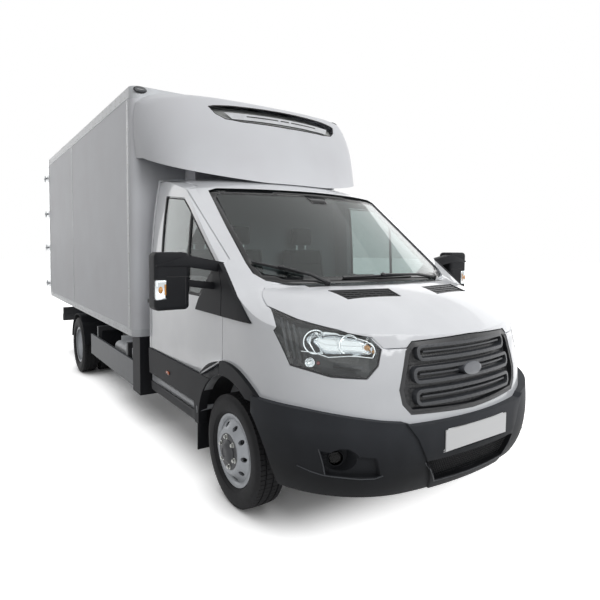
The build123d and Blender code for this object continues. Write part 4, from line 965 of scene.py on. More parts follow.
def part_of(node, keep):
    """A searchable surface of the faces of a solid whose middle and normal pass a test, in mm."""
    mesh = nodes[node].data
    faces = [list(face.vertices) for face in mesh.polygons if keep(*in_mm(face.center), face.normal)]
    return BVHTree.FromPolygons([v.co.copy() for v in mesh.vertices], faces)


def is_back_plate(x, _, z, normal):
    """True for the middle of a face behind the rings, the frame and the oval."""
    inside = abs(x) < 430 and 735 < z < 1075 and not in_ring(x, z, 0)
    on_oval = (x/OVAL_HALF)**2 + ((z - OVAL_Z)/OVAL_RISE)**2 < 1.05
    return inside and not on_oval and normal.y < -0.6


def rounded_bar(x0, x1, z, height):
    """The outline of a bar with round ends, between x0 and x1."""
    radius = height/2
    points = []
    for middle, first in ((x0 + radius, pi/2), (x1 - radius, -pi/2)):
        for k in range(9):
            turn = first + pi*k/8
            points.append((middle + radius*cos(turn), z + radius*sin(turn)))
    return points


def finish_net(name, bm, wire):
    """A black net whose wires, in mm, follow the edges of a bmesh."""
    bmesh.ops.wireframe(bm, faces=bm.faces[:], thickness=wire*MM, use_even_offset=False, use_boundary=True,
                        use_replace=True)
    finish_piece(name, bm, "chassis", BLACK_ABS, smooth=0)


back_plate = part_of("grille", is_back_plate)
bars = []
for middle, half, height in GRILLE_RINGS:
    beside_oval = abs(middle - OVAL_Z) < 20
    spans = [(-half + 48, -OVAL_HALF - 16), (OVAL_HALF + 16, half - 48)] if beside_oval else [(-half + 48, half - 48)]
    bars += [rounded_bar(x0, x1, middle, 9) for x0, x1 in spans]
bm = cells(bars, "front", 30)
drop_onto(bm, back_plate, "front", 22)
bmesh.ops.recalc_face_normals(bm, faces=bm.faces)
bmesh.ops.solidify(bm, geom=bm.faces[:], thickness=16*MM)
finish_piece("grille_ring_bars", bm, "chassis", GRILLE_ABS, smooth=40, bevel=1.0)

NET_HALF = [(470, 800), (470, 870), (425, 1045), (385, 1075)]
net_outline = [(-x, z) for x, z in reversed(NET_HALF)] + [(-420, 745), (420, 745)] + NET_HALF
bm = cells([net_outline], "front", 16)
drop_onto(bm, back_plate, "front", 7)
finish_net("grille_net", bm, 1.6)
print(len(bars), "bars in the rings")

# %% [markdown]
# ## The plate
# The plate seat carries a blank white plate with two screws. The plate is part of the bumper's solid, so
# its front faces are found by their place and given the plate's own white.

# %% Plate and screws
bumper_mesh = skins["front_bumper"].data
bumper_mesh.materials.append(PLATE_WHITE)
PLATE_HALF, PLATE_LOW, PLATE_HIGH = 262.0, 533.0, 645.0
plate_front = min(v.co.y for v in bumper_mesh.vertices if abs(v.co.x) < PLATE_HALF*MM and 540 < v.co.z/MM < 640)
PLATE_Y = (plate_front - AXLE_Y)/MM
for face in bumper_mesh.polygons:
    x, y, z = in_mm(face.center)
    if abs(x) < PLATE_HALF + 0.5 and PLATE_LOW - 0.5 < z < PLATE_HIGH + 0.5 and y < PLATE_Y + 6.5:
        face.material_index = 1
bm = bmesh.new()
for x in (-236, 236):
    add_turned(bm, (x, PLATE_Y, 589), (0, -1, 0), [(-1, 0), (-1, 6), (1, 6), (2.4, 4), (3, 0)], 16, closed=False)
finish_piece("plate_screws", bm, "chassis", ZINC)
print("plate face at y", round(PLATE_Y))

# %% [markdown]
# ## The air inlet
# Below the plate the air inlet is closed by a black net. Behind it a black sheet closes the inlet: painted shade for
# the dark depth behind the opening, which also stops the view through to the floor. The net's distance from the front
# is read off the bumper above and below the opening, and mixed between the two.

# %% Inlet net and painted shade sheet
bumper_front = surface_of("front_bumper")


def on_bumper(x, z, lift):
    """A place lift mm in front of the bumper at (x, z)."""
    hit, normal, _, _ = bumper_front.ray_cast(at(x, -3000, z), Vector((0, 1, 0)))
    if hit is None:
        hit, normal, _, _ = bumper_front.find_nearest(at(x, -1000, z))
    return in_mm(hit + normal*(lift*MM))


INLET_LOW, INLET_HIGH = 372.0, 500.0


def inlet_depth(x, z):
    """How far forward the bumper's face would be at (x, z) if it had no inlet."""
    x = max(-372, min(372, x))
    (_, above, _), (_, below, _) = on_bumper(x, INLET_HIGH + 6, 0), on_bumper(x*0.78, INLET_LOW - 8, 0)
    share = (z - INLET_LOW)/(INLET_HIGH - INLET_LOW)
    return above*share + below*(1 - share)


def inlet_sheet(back, step, margin):
    """A sheet that fills the inlet, back mm behind the bumper's face."""
    bm = cells([[(-372 - margin, 500 + margin), (-290 - margin, 375 - margin), (290 + margin, 375 - margin),
                 (372 + margin, 500 + margin)]], "front", step)
    for vert in bm.verts:
        vert.co.y = AXLE_Y + (inlet_depth(vert.co.x/MM, vert.co.z/MM) + back)*MM
    return bm


finish_net("inlet_net", inlet_sheet(26, 14, 2), 1.8)
# A black sheet 62 mm behind the net: painted shade for the depth behind the inlet.
bm = inlet_sheet(62, 60, 30)
bmesh.ops.solidify(bm, geom=bm.faces[:], thickness=-4*MM)
finish_piece("inlet_shade_sheet", bm, "chassis", LINER_PLASTIC, smooth=40)
print("inlet's face at y", round(inlet_depth(0, 440)))

# %% [markdown]
# ## Air vents in the bonnet
# Two sloping openings behind the middle of the bonnet carry black moulded louvres. Each louvre panel is a
# flat outline dropped on a smooth surface just under the bonnet skin, with slats standing on it.

# %% Bonnet vents
VENT_OUTLINE = [(150, -478), (545, -392), (524, -541), (157, -596)]


bonnet_top = surface_of("bonnet")


def height_beside(x, y):
    """The bonnet's height at (x, y) in mm, or None beside it."""
    hit, _, _, _ = bonnet_top.ray_cast(at(x, y, 2000), Vector((0, 0, -1)))
    return hit.z/MM if hit else None


def vent_plane(side):
    """Four corners of a vent, in mm, each at the height of the bonnet just outside it."""
    middle_x = sum(p[0] for p in VENT_OUTLINE)/4
    middle_y = sum(p[1] for p in VENT_OUTLINE)/4
    corners = []
    for x, y in VENT_OUTLINE:
        out_x, out_y = x + 0.05*(x - middle_x), y + 0.12*(y - middle_y)
        corners.append((side*x, y, height_beside(side*out_x, out_y)))
    return corners


def on_vent(corners, u, v, drop=0.0):
    """A place on a vent: u across from its inner end, v from its front edge, drop mm under the skin."""
    rear_in, rear_out, front_out, front_in = corners
    front = [front_in[i] + (front_out[i] - front_in[i])*u for i in range(3)]
    rear = [rear_in[i] + (rear_out[i] - rear_in[i])*u for i in range(3)]
    place = [front[i] + (rear[i] - front[i])*v for i in range(3)]
    return place[0], place[1], place[2] + 4*u*(1 - u)*3 - drop


for side, word in SIDES:
    corners = vent_plane(side)
    bm = bmesh.new()
    tray = [bm.verts.new(at(*on_vent(corners, u, v, 17))) for u, v in ((0, 0), (1, 0), (1, 1), (0, 1))]
    bm.faces.new(tray)
    bmesh.ops.recalc_face_normals(bm, faces=bm.faces)
    bmesh.ops.solidify(bm, geom=bm.faces[:], thickness=3*MM)
    for k in range(5):
        v = 0.1 + 0.2*k
        add_bar(bm, on_vent(corners, 0.01, v, 9), on_vent(corners, 0.99, v, 9), 6.5, 4)
    for k in range(8):
        u = 0.06 + 0.88*k/7
        add_bar(bm, on_vent(corners, u, 0.01, 11), on_vent(corners, u, 0.99, 11), 3, 4)
    for u0, v0, u1, v1 in ((0, 0, 1, 0), (1, 0, 1, 1), (1, 1, 0, 1), (0, 1, 0, 0)):
        add_bar(bm, on_vent(corners, u0, v0, 4), on_vent(corners, u1, v1, 4), 5, 6)
    finish_piece("bonnet_vent_" + word, bm, "bonnet", BLACK_ABS, smooth=30)
print("vents at heights", [round(c[2]) for c in vent_plane(1)])

# %% [markdown]
# ## Headlamps
# A headlamp is a dark bucket with bright reflectors in it, closed by a clear moulded lens with a black
# bonded rim. The solid fills that space. Its front faces are found by spreading from one face across
# every edge that is not a corner. They become the lens, and the same faces pushed back become the bucket.

# %% Lens and bucket from the lamp solid's front
SHARP = radians(50)


def lamp_front(side):
    """A bmesh with only a headlamp's smooth front, spread from the face nearest to its middle."""
    bm = joined("headlamps")
    seed = at(side*745, -745, 1080)
    first = min(bm.faces, key=lambda f: (f.calc_center_median() - seed).length)
    region, border = {first}, [first]
    while border:
        face = border.pop()
        for edge in face.edges:
            for other in edge.link_faces:
                if other not in region and other.normal.angle(face.normal) < SHARP:
                    region.add(other)
                    border.append(other)
    bmesh.ops.delete(bm, geom=[f for f in bm.faces if f not in region], context="FACES")
    return bm


BUCKET_BLACK = make_plain("lamp_housing_black", "#2B2C2F", 0.3, 50)
LENS_RIM = 8.0
BUCKET_DEPTH = 105.0
for side, word in SIDES:
    bm = lamp_front(side)
    inner = bm.faces[:]
    rim = bmesh.ops.inset_region(bm, faces=inner, thickness=LENS_RIM*MM, use_even_offset=True, use_boundary=True)
    for face in rim["faces"]:
        face.material_index = 1
    lens = finish_piece("headlamp_lens_" + word, bm, "chassis", [CLEAR_LENS, BLACK_ABS], smooth=30,
                        replaces=["headlamps"])
    thicken(lens, 2.5, -1.0)
    bm = lamp_front(side)
    pushed = bmesh.ops.extrude_face_region(bm, geom=bm.faces[:])["geom"]
    moved = [item for item in pushed if isinstance(item, bmesh.types.BMVert)]
    middle = sum((v.co for v in moved), Vector())/len(moved)
    bmesh.ops.translate(bm, verts=moved, vec=(0, BUCKET_DEPTH*MM, 0))
    for vert in moved:
        vert.co.x += (middle.x - vert.co.x)*0.10
        vert.co.z += (middle.z - vert.co.z)*0.12
    front = [f for f in bm.faces if not any(v in moved for v in f.verts)]
    bmesh.ops.delete(bm, geom=front, context="FACES")
    bmesh.ops.recalc_face_normals(bm, faces=bm.faces)
    bmesh.ops.solidify(bm, geom=bm.faces[:], thickness=-2*MM)
    finish_piece("headlamp_bucket_" + word, bm, "chassis", BUCKET_BLACK, smooth=30)
print("lens faces", len(inner))

# %% [markdown]
# ## Reflectors and bulbs
# Each reflector is a bowl: a curve spun about the way it shines, with a flange round its mouth and a small
# bulb in the middle. Two lie side by side in the headlamp with a bright line between them. An amber bulb
# sits at the inner end and a small side light below.

# %% Bowls and bulbs


def add_bowl(bm, centre, axis, radius, depth, flange):
    """A reflector bowl, open along axis, its mouth at centre."""
    profile = [(-depth, 0)]
    for k in range(1, 9):
        share = k/8
        profile.append((-depth + depth*share*share, radius*share))
    profile += [(2, radius + 1), (2, radius + flange), (-4, radius + flange), (-6, radius + 2)]
    for k in range(7, 0, -1):
        share = k/8
        profile.append((-depth - 3 + depth*share*share, (radius + 2)*share))
    add_turned(bm, centre, axis, profile, 40)


AMBER_BULB = make_plain("amber_bulb_glass", "#E9A24C", 0.2, 30, **{"Coat Weight": 0.6})
TRAY_HALF = [(852, 1092), (846, 1128), (822, 1152), (786, 1158), (735, 1140), (684, 1133), (622, 1110), (592, 1080),
             (590, 1052), (606, 1024), (650, 1030), (704, 1034), (742, 1030), (790, 1024), (836, 1044)]


def fill_headlamp(side, word):
    """Tray, bowls, bulbs and facets behind one headlamp's lens."""
    def finish(kind, bm, material, slot="lamp_lens", smooth=50):
        finish_piece(kind + "_" + word, bm, "chassis", material, smooth=smooth)

    tray = [(side*x, z) for x, z in TRAY_HALF]
    front = BVHTree.FromBMesh(lamp_front(side))
    draped("headlamp_tray_" + word, tray, "front", front, "chassis", CHROME, lift=-34, thick=2)
    draped("headlamp_tray_edge_" + word, tray, "front", front, "chassis", CHROME, lift=-21, thick=26, band=4)
    outward = Vector((side*0.5, -0.86, 0)).normalized()
    ahead = Vector((side*0.4, -0.92, 0)).normalized()
    bm = bmesh.new()
    for x, y, z, axis, radius, depth, flange in ((808, -618, 1094, outward, 57, 46, 7),
                                                 (684, -734, 1086, ahead, 46, 40, 7),
                                                 (606, -795, 1070, ahead, 26, 24, 4),
                                                 (838, -612, 990, outward, 22, 16, 3)):
        add_bowl(bm, (side*x, y, z), axis, radius, depth, flange)
    add_bar(bm, (side*742, -692, 1128), (side*722, -716, 1040), 3.5, 8)
    add_bar(bm, (side*868, -575, 1046), (side*740, -690, 1032), 3, 8)
    add_bar(bm, (side*740, -690, 1032), (side*640, -780, 1030), 3, 8)
    finish("headlamp_reflectors", bm, CHROME)
    bm = bmesh.new()
    for place, axis, size in (((side*808, -618, 1094), outward, 15), ((side*684, -734, 1086), ahead, 12)):
        base = at(*place) - axis*0.044
        tip = in_mm(base + axis*0.030)
        add_bar(bm, in_mm(base), tip, size, 16, size*0.8)
        add_ball(bm, tip, size*0.8)
    finish("headlamp_bulbs", bm, CHROME)
    bm = bmesh.new()
    add_ball(bm, (side*606, -786, 1070), 15, (1, 1.3, 1))
    add_ball(bm, (side*585, -812, 1052), 9, (1, 1.2, 1))
    finish("indicator_bulbs", bm, AMBER_BULB)
    bm = bmesh.new()
    add_ball(bm, (side*812, -648, 990), 10)
    finish("side_light_bulb", bm, RED_LENS)
    bm = bmesh.new()
    for k in range(4):
        x, y = 905 - 16*k, -440 - 34*k
        add_bar(bm, (side*x, y, 1205 - 14*k), (side*(x - 22), y - 46, 1000 - 8*k), 9 - k, 4)
    add_bar(bm, (side*730, -672, 975), (side*610, -790, 960), 14, 4)
    finish("headlamp_facets", bm, GRILLE_ABS, "black_plastic", 20)


print("the tray has", len(TRAY_HALF), "corners")

# %% [markdown]
# ## Fog lamps
# Each round fog lamp sits low in the inner part of a hole in the bumper. An oval plate closes the hole
# behind it and a short sleeve joins the plate to the hole's edge. Level fins run from the lamp's ring to
# the outer end, and the lamp itself is one more bowl behind a smoked glass.

# %% Fog lamps
FOG_X, FOG_Y, FOG_Z = 774, -728, 531
LAMP_OFFSET = -13
PLATE_WIDE, PLATE_HIGH_HALF = 73, 65
HOLE_RADIUS = 62.5


def ring_of(place_at, count=48):
    """count corners of a closed ring; place_at(cos, sin) gives each place in metres."""
    turns = [2*pi*k/count for k in range(count)]
    return [place_at(cos(turn), sin(turn)) for turn in turns]


def make_fog_lamp(side, word):
    """Plate, sleeve, fins, ring, bowl and glass of one fog lamp."""
    facing = Vector((side*0.45, -0.89, 0)).normalized()
    outboard = side*Vector((0, 0, 1)).cross(facing)
    middle = at(side*FOG_X, FOG_Y, FOG_Z)

    def on_plate(u, v, lift=0.0):
        """The place u mm outboard, v mm above and lift mm in front of the plate's middle, in metres."""
        return middle + outboard*(u*MM) + Vector((0, 0, v*MM)) + facing*(lift*MM)

    def on_hole(c, s):
        """The place on the edge of the bumper's hole, in the direction (c, s), in metres."""
        _, y, _ = on_bumper(side*(FOG_X + 72*c), FOG_Z + 72*s, 0)
        return at(side*(FOG_X + HOLE_RADIUS*c), y + 3, FOG_Z + HOLE_RADIUS*s)

    bm = bmesh.new()
    rings = [ring_of(lambda c, s: on_plate(LAMP_OFFSET + 38*c, LAMP_OFFSET + 38*s)),
             ring_of(lambda c, s: on_plate(PLATE_WIDE*c, PLATE_HIGH_HALF*s)), ring_of(on_hole)]
    inner, outer, mouth = [[bm.verts.new(place) for place in ring] for ring in rings]
    for k in range(len(inner)):
        bm.faces.new((inner[k - 1], outer[k - 1], outer[k], inner[k]))
        bm.faces.new((outer[k - 1], mouth[k - 1], mouth[k], outer[k]))
    bmesh.ops.recalc_face_normals(bm, faces=bm.faces)
    bmesh.ops.solidify(bm, geom=bm.faces[:], thickness=3*MM)
    for v in (34, 18, 2, -14, -30):
        start = -11 + sqrt(max(0.0, 43*43 - (v - LAMP_OFFSET)**2))
        add_bar(bm, in_mm(on_plate(start, v, 3)), in_mm(on_plate(66*sqrt(1 - (v/62)**2), v, 5)), 3, 6)
    lamp = on_plate(LAMP_OFFSET, LAMP_OFFSET, 8)
    add_turned(bm, in_mm(lamp), facing, [(-11, 43), (-3, 43), (0, 41), (0, 38), (-5, 36), (-11, 36)], 48)
    add_bar(bm, (side*745, -700, 525), (side*735, -680, 525), 58, 32)
    finish_piece("fog_lamp_bezel_" + word, bm, "chassis", BUMPER_PLASTIC, smooth=40,
                 replaces=["headlamps"])
    bm = bmesh.new()
    add_bowl(bm, in_mm(lamp - facing*0.005), facing, 35, 26, 3)
    finish_piece("fog_lamp_reflector_" + word, bm, "chassis", BUCKET_BLACK, smooth=50)
    bm = bmesh.new()
    add_turned(bm, in_mm(lamp), facing, [(-3, 39), (2, 34), (6, 20), (7, 0), (4, 0), (3, 20), (-1, 33), (-5, 38)], 40)
    finish_piece("fog_lamp_glass_" + word, bm, "chassis", SMOKED_LENS, smooth=60)


for side, word in SIDES:
    fill_headlamp(side, word)
    make_fog_lamp(side, word)
print("lamps filled")

# %% [markdown]
# ## The windscreen's border and the bonnet's seal
# A black ceramic border is fired onto the glass to hide the glue that holds it. It is a band of the
# screen's own outline laid on the glass. In front of it a black strip seals the rear edge of the bonnet,
# whose course is found by feeling, along x, where the bonnet ends.

# %% Ceramic border and bonnet seal
CERAMIC = make_plain("fired_ceramic_border", "#141517", 0.18, 60)
SCREEN_HALF = [(0, 2008), (742, 2002), (802, 1982), (829, 1725), (846, 1480), (842, 1422), (797, 1381), (683, 1360),
               (0, 1360)]
screen_points = SCREEN_HALF + [(-x, z) for x, z in reversed(SCREEN_HALF) if x]
screen_glass = part_of("windscreen", lambda x, y, z, n: n.y < -0.1)
draped("screen_border", screen_points, "front", screen_glass, "chassis", CERAMIC, lift=0.7, thick=0.8, band=38,
       step=40)
sensor = [(-95, 1975), (-70, 1915), (70, 1915), (95, 1975)]
draped("screen_sensor_patch", sensor, "front", screen_glass, "chassis", CERAMIC, lift=0.9, thick=0.8, step=30)


def bonnet_rear(x):
    """How far back the bonnet reaches at x, in mm."""
    return next(y for y in range(-100, -460, -2) if height_beside(x, y))


rear_line = [(x, bonnet_rear(x) - 3) for x in range(-600, 601, 50)]
front_line = [(x, y - 40) for x, y in reversed(rear_line)]
draped("bonnet_rear_seal", rear_line + front_line, "top", bonnet_top, "bonnet", BLACK_ABS, lift=0.8, thick=1.2,
       step=60)
print("bonnet ends at", rear_line[12][1], "in the middle")

# %% [markdown]
# ## Wipers
# Two wipers rest along the glass's lower edge: a tapered arm on a pivot, a clip, and a blade. A real blade is
# sprung to follow the curved glass. This one follows it too, because each of its points is dropped onto it.

# %% Wipers


def on_screen(x, z, lift):
    """A place lift mm in front of the glass at (x, z)."""
    hit, normal, _, _ = screen_glass.ray_cast(at(x, -3000, z), Vector((0, 1, 0)))
    if hit is None:
        hit, normal, _, _ = screen_glass.find_nearest(at(x, -250, z))
    return in_mm(hit + normal*(lift*MM if normal.y < 0 else -lift*MM))


def add_chain(bm, places, radius, sides=8):
    """Round bars from place to place, with a ball at each joint."""
    for start, end in zip(places, places[1:]):
        add_bar(bm, start, end, radius, sides)
        add_ball(bm, end, radius*1.02, segments=8)


def make_wiper(name, pivot, blade_start, blade_end, joint_share):
    """A wiper from its pivot to a blade between two places (x, z) on the glass."""
    def along(share, lift):
        """A place on the blade's line, lift mm off the glass."""
        return on_screen(*(start + (end - start)*share for start, end in zip(blade_start, blade_end)), lift)

    blade = [along(k/12, 6) for k in range(13)]
    spine = [along(k/12, 15) for k in range(13)]
    clip = along(joint_share, 26)
    bm = bmesh.new()
    add_chain(bm, blade, 4.5, 6)
    finish_piece(name + "_rubber", bm, "chassis", SEAL_RUBBER, smooth=40)
    bm = bmesh.new()
    add_chain(bm, spine, 6.5)
    add_ball(bm, clip, 13, (1.6, 1, 0.9))
    elbow = tuple(pivot[i] + (clip[i] - pivot[i])*0.35 + (0, -8, 12)[i] for i in range(3))
    add_bar(bm, pivot, elbow, 13, 8, 10)
    add_bar(bm, elbow, clip, 9, 8, 6)
    add_bar(bm, (pivot[0], pivot[1] + 6, pivot[2] - 14), (pivot[0], pivot[1] - 8, pivot[2] + 12), 17, 16, 14)
    finish_piece(name + "_arm", bm, "chassis", BLACK_ABS, smooth=40)


make_wiper("wiper_right", (-470, -292, 1368), (-812, 1478), (-560, 1412), 0.55)
make_wiper("wiper_left", (545, -250, 1374), (-330, 1384), (290, 1392), 0.5)
print("two wipers on the glass")

# %% [markdown]
# ## Door glass seals, handles and side details
# Each side window runs in a black rubber channel and has one upright bar where the fixed quarter glass
# ends. The seal is a band of the window's own outline, laid on the glass. The door handle is a bar over a
# shallow dark cup, and low on the cladding sits an orange side marker.

# %% Seals, handles and markers
WINDOW = [(400, 1252), (150, 1478), (640, 1848), (770, 1932), (1145, 1975), (1150, 1252)]


def side_place(surface, side, y, z, lift):
    """A place lift mm outside a surface, straight out from (y, z) on one side."""
    hit, _, _, _ = surface.ray_cast(at(side*3000, y, z), Vector((-side, 0, 0)))
    if hit is None:
        hit, _, _, _ = surface.find_nearest(at(side*1000, y, z))
    return side*(abs(hit.x)/MM + lift), y, z


for side, word in SIDES:
    door = "cab_door_" + word
    glass = part_of("door_glass_" + word, lambda x, y, z, n: n.x*side > 0.2)
    draped("window_seal_" + word, WINDOW, word, glass, door, SEAL_RUBBER, lift=3, thick=9, band=17, step=60)
    bar = [(598, 1254), (598, 1808), (622, 1826), (622, 1254)]
    draped("window_bar_" + word, bar, word, glass, door, SEAL_RUBBER, lift=3, thick=8, step=60)
    skin = part_of("cab_door_" + word, lambda x, y, z, n: n.x*side > 0.2)
    cup = [(1270 + 74*cos(2*pi*k/28), 1128 + 30*sin(2*pi*k/28)) for k in range(28)]
    draped("handle_cup_" + word, cup, word, skin, door, BLACK_PLASTIC, lift=1.2, thick=2, step=30)
    bm = bmesh.new()
    grip_x, _, _ = side_place(skin, side, 1188, 1134, 24)
    add_block(bm, (grip_x - 7, 1188, 1120), (grip_x + 7, 1352, 1150), 6, 3)
    for y in (1200, 1340):
        add_bar(bm, side_place(skin, side, y, 1135, -2), (grip_x, y, 1135), 12)
    add_bar(bm, side_place(skin, side, 1268, 1082, -2), side_place(skin, side, 1268, 1082, 4), 13, 24)
    finish_piece("door_handle_" + word, bm, door, BLACK_PLASTIC)
    clad = surface_of("side_cladding")
    marker = [(918, 612), (978, 612), (978, 634), (918, 634)]
    draped("side_marker_" + word, marker, word, clad, "chassis", ORANGE_LENS, lift=4, thick=8, step=60)
    strip = [(330, 463), (1246, 463), (1246, 513), (330, 513)]
    draped("sill_strip_" + word, strip, word, surface_of("side_cladding", "cab_body"), "chassis", SILL_PAINT,
           lift=1.2, thick=2, step=90)
print("both doors trimmed")

# %% [markdown]
# ## Mirrors
# Each mirror head hangs on two flat arms from a black sail. The arms are outlines seen from the front,
# given depth by an extrusion and soft edges by a bevel. A clear indicator sits in the outer lower corner,
# a thin line parts the housing's two halves, and the glass faces backwards in a narrow rim.

# %% Arms, indicator and glass
UPPER_ARM = [(962, 1422), (1215, 1462), (1392, 1462), (1392, 1474), (1215, 1524), (1180, 1526), (962, 1484)]
LOWER_ARM = [(985, 1312), (1200, 1343), (1200, 1387), (985, 1352)]
for side, word in SIDES:
    door = "cab_door_" + word
    bm = bmesh.new()
    for arm, front, depth in ((UPPER_ARM, 99, 71), (LOWER_ARM, 150, 56)):
        add_slab(bm, [(side*x, front, z) for x, z in arm], (0, depth, 0), 7)
    finish_piece("mirror_arms_" + word, bm, door, BLACK_PLASTIC)
    bm = bmesh.new()
    add_block(bm, (side*1327, 101, 1270), (side*1394, 160, 1390), 13, 3)
    finish_piece("mirror_indicator_case_" + word, bm, door, CHROME)
    bm = bmesh.new()
    add_block(bm, (side*1325, 98, 1268), (side*1397.5, 164, 1392), 15, 3)
    finish_piece("mirror_indicator_" + word, bm, door, CLEAR_LENS)
    bm = bmesh.new()
    add_bar(bm, (side*1340, 99, 1300), (side*1340, 99, 1362), 4, 8)
    add_ball(bm, (side*1368, 104, 1330), 14, (1, 0.8, 1.5))
    finish_piece("mirror_indicator_bulb_" + word, bm, door, AMBER_BULB)
    bm = bmesh.new()
    add_bar(bm, (side*1192, 105, 1404), (side*1330, 105, 1404), 2.2, 6)
    add_bar(bm, (side*1215, 105, 1404), (side*1215, 105, 1240), 2.2, 6)
    finish_piece("mirror_split_" + word, bm, door, SEAL_RUBBER)
    bm = bmesh.new()
    add_block(bm, (side*1203, 228, 1336), (side*1383, 238, 1528), 16, 3)
    add_block(bm, (side*1203, 228, 1226), (side*1383, 238, 1326), 14, 3)
    finish_piece("mirror_glass_" + word, bm, door, MIRROR_GLASS)
print("two mirrors completed")

# %% [markdown]
# ## The cabin's trim
# The pressed cab is white outside and trimmed inside: pale cloth under the roof, grey plastic on the
# walls and doors. A face belongs to the inside where it looks at the middle of the cabin, so that one
# test gives the trim its own materials without cutting the panel.

# %% Inside faces
TRIM_PLASTIC = make_grained_plastic("moulded_trim_plastic", "#8E9196", "#979A9F", 0.6)
CABIN_MIDDLE = at(0, 760, 1380)
for node in ("cab_body", "cab_door_left", "cab_door_right"):
    mesh = skins[node].data
    for material in (TRIM_PLASTIC, ROOF_LINING):
        mesh.materials.append(material)
    inside = 0
    for face in mesh.polygons:
        x, y, z = in_mm(face.center)
        looks_in = face.normal.dot((CABIN_MIDDLE - face.center).normalized()) > 0.12
        if looks_in and abs(x) < 992 and -250 < y < 1393 and 688 < z < 2250:
            face.material_index = 2 if face.normal.z < -0.5 and z > 1900 else 1
            inside += 1
    print(node, "inside faces", inside)

# %% [markdown]
# ## Padding
# The driver has one seat and the passengers share a bench. Each cushion, back and head rest is its own
# padded piece. A block a little too small is remeshed to an even skin, and Blender's cloth solver blows
# it up with air pressure, which crowns the middle and pulls the sides in between the corners. A limit on
# how far a point may move keeps it in its place. Seams are pressed in afterwards.

# %% Inflate a pad
PAD_VOXEL = 0.010
PAD_FRAMES = 18


def inflate(piece, cap_mm, pressure=4.0):
    """Remeshes a closed block, blows it up with cloth pressure and caps the movement."""
    scene = bpy.context.scene
    remesh = piece.modifiers.new("even", "REMESH")
    remesh.mode = "VOXEL"
    remesh.voxel_size = PAD_VOXEL
    settle(piece)
    start = [v.co.copy() for v in piece.data.vertices]
    cloth = piece.modifiers.new("air", "CLOTH")
    cloth.settings.use_pressure = True
    cloth.settings.uniform_pressure_force = pressure
    cloth.settings.effector_weights.gravity = 0
    cloth.settings.tension_stiffness = 12
    cloth.point_cache.frame_start = 1
    cloth.point_cache.frame_end = PAD_FRAMES
    for frame_number in range(1, PAD_FRAMES + 1):
        scene.frame_set(frame_number)
    settle(piece)
    scene.frame_set(1)
    for vert, home in zip(piece.data.vertices, start):
        step = vert.co - home
        if step.length > cap_mm*MM:
            vert.co = home + step.normalized()*cap_mm*MM


def settle(piece):
    """Writes what the modifiers make into the mesh and takes them off."""
    graph = bpy.context.evaluated_depsgraph_get()
    mesh = bpy.data.meshes.new_from_object(piece.evaluated_get(graph))
    piece.modifiers.clear()
    old = piece.data
    piece.data = mesh
    bpy.data.meshes.remove(old)


def press_seam(piece, distance, depth_mm, width_mm=9.0):
    """Presses a seam in along its normals where distance(x, y, z) in mm is small."""
    moves = []
    for vert in piece.data.vertices:
        gap = distance(*in_mm(vert.co))
        if gap < width_mm:
            moves.append((vert, vert.normal.copy()*(-depth_mm*MM*(1 - gap/width_mm)**0.7)))
    for vert, move in moves:
        vert.co += move


def make_pad(name, bm, seams, cap_mm, replaces):
    """A padded piece on the chassis from a block, with seams as (distance function, depth)."""
    piece = finish_piece(name, bm, "chassis", SEAT_CLOTH, smooth=0, replaces=replaces)
    inflate(piece, cap_mm)
    for distance, depth in seams:
        press_seam(piece, distance, depth)
    piece.data.shade_smooth()


print("a pad takes its shape in", PAD_FRAMES, "frames")

# %% [markdown]
# ## The driver's seat and the bench
# Both seats are made by one function. Its seams are small functions too: each gives the distance from a
# place to its seam, so a groove is pressed in wherever that distance is small. The head rests stand on
# bright steel posts, and a hard base carries each seat.

# %% Seats
BACK_SIDE = [(1074, 972), (1160, 955), (1276, 1566), (1200, 1576)]


def add_side_slab(bm, points, x0, x1, rounding):
    """An outline of (y, z) in mm, extruded from x0 to x1, with rounded edges."""
    add_slab(bm, [(x0, y, z) for y, z in points], (x1 - x0, 0, 0), rounding, 4)


def make_seat(name, node, x0, x1, heads, bolsters):
    """Base, cushion, back and head rests between x0 and x1; bolsters are the seams' x."""
    bm = bmesh.new()
    add_block(bm, (x0 + 14, 674, 882), (x1 - 14, 1136, 998), 38, 4)
    across_seat = [(lambda x, y, z, s=seam: abs(x - s) if z > 950 else 99, 7.0) for seam in bolsters]
    cross = [(lambda x, y, z: abs(y - 800) if z > 950 and min(bolsters) < x < max(bolsters) else 99, 5.0)]
    piping = [(lambda x, y, z: abs(z - 976) if y < 700 or x < x0 + 40 or x > x1 - 40 else 99, 4.0)]
    make_pad(name + "_cushion", bm, across_seat + cross + piping, 13, [node])
    bm = bmesh.new()
    add_side_slab(bm, BACK_SIDE, x0 + 22, x1 - 22, 30)
    front = [(lambda x, y, z, s=seam: abs(x - s) if y < 1110 + (z - 960)*0.2 else 99, 7.0) for seam in bolsters]
    rows = [(lambda x, y, z, h=height: abs(z - h) if min(bolsters) < x < max(bolsters)
             and y < 1110 + (z - 960)*0.2 else 99, 5.0) for height in (1180, 1420)]
    make_pad(name + "_back", bm, front + rows, 12, [node])
    for k, head_x in enumerate(heads):
        bm = bmesh.new()
        add_block(bm, (head_x - 113, 1211, 1602), (head_x + 113, 1289, 1768), 30, 4)
        rim = [(lambda x, y, z: abs(y - 1250), 4.0)]
        make_pad(name + "_head_rest_" + str(k + 1), bm, rim, 10, [node])
    bm = bmesh.new()
    for head_x in heads:
        for x in (head_x - 50, head_x + 50):
            add_bar(bm, (x, 1245, 1545), (x, 1250, 1625), 8)
    finish_piece(name + "_posts", bm, "chassis", STAINLESS, replaces=[node])
    bm = bmesh.new()
    add_block(bm, (x0 + 30, 720, 690.3), (x1 - 30, 1120, 872), 12, 3)
    finish_piece(name + "_base", bm, "chassis", TRIM_PLASTIC, replaces=[node])


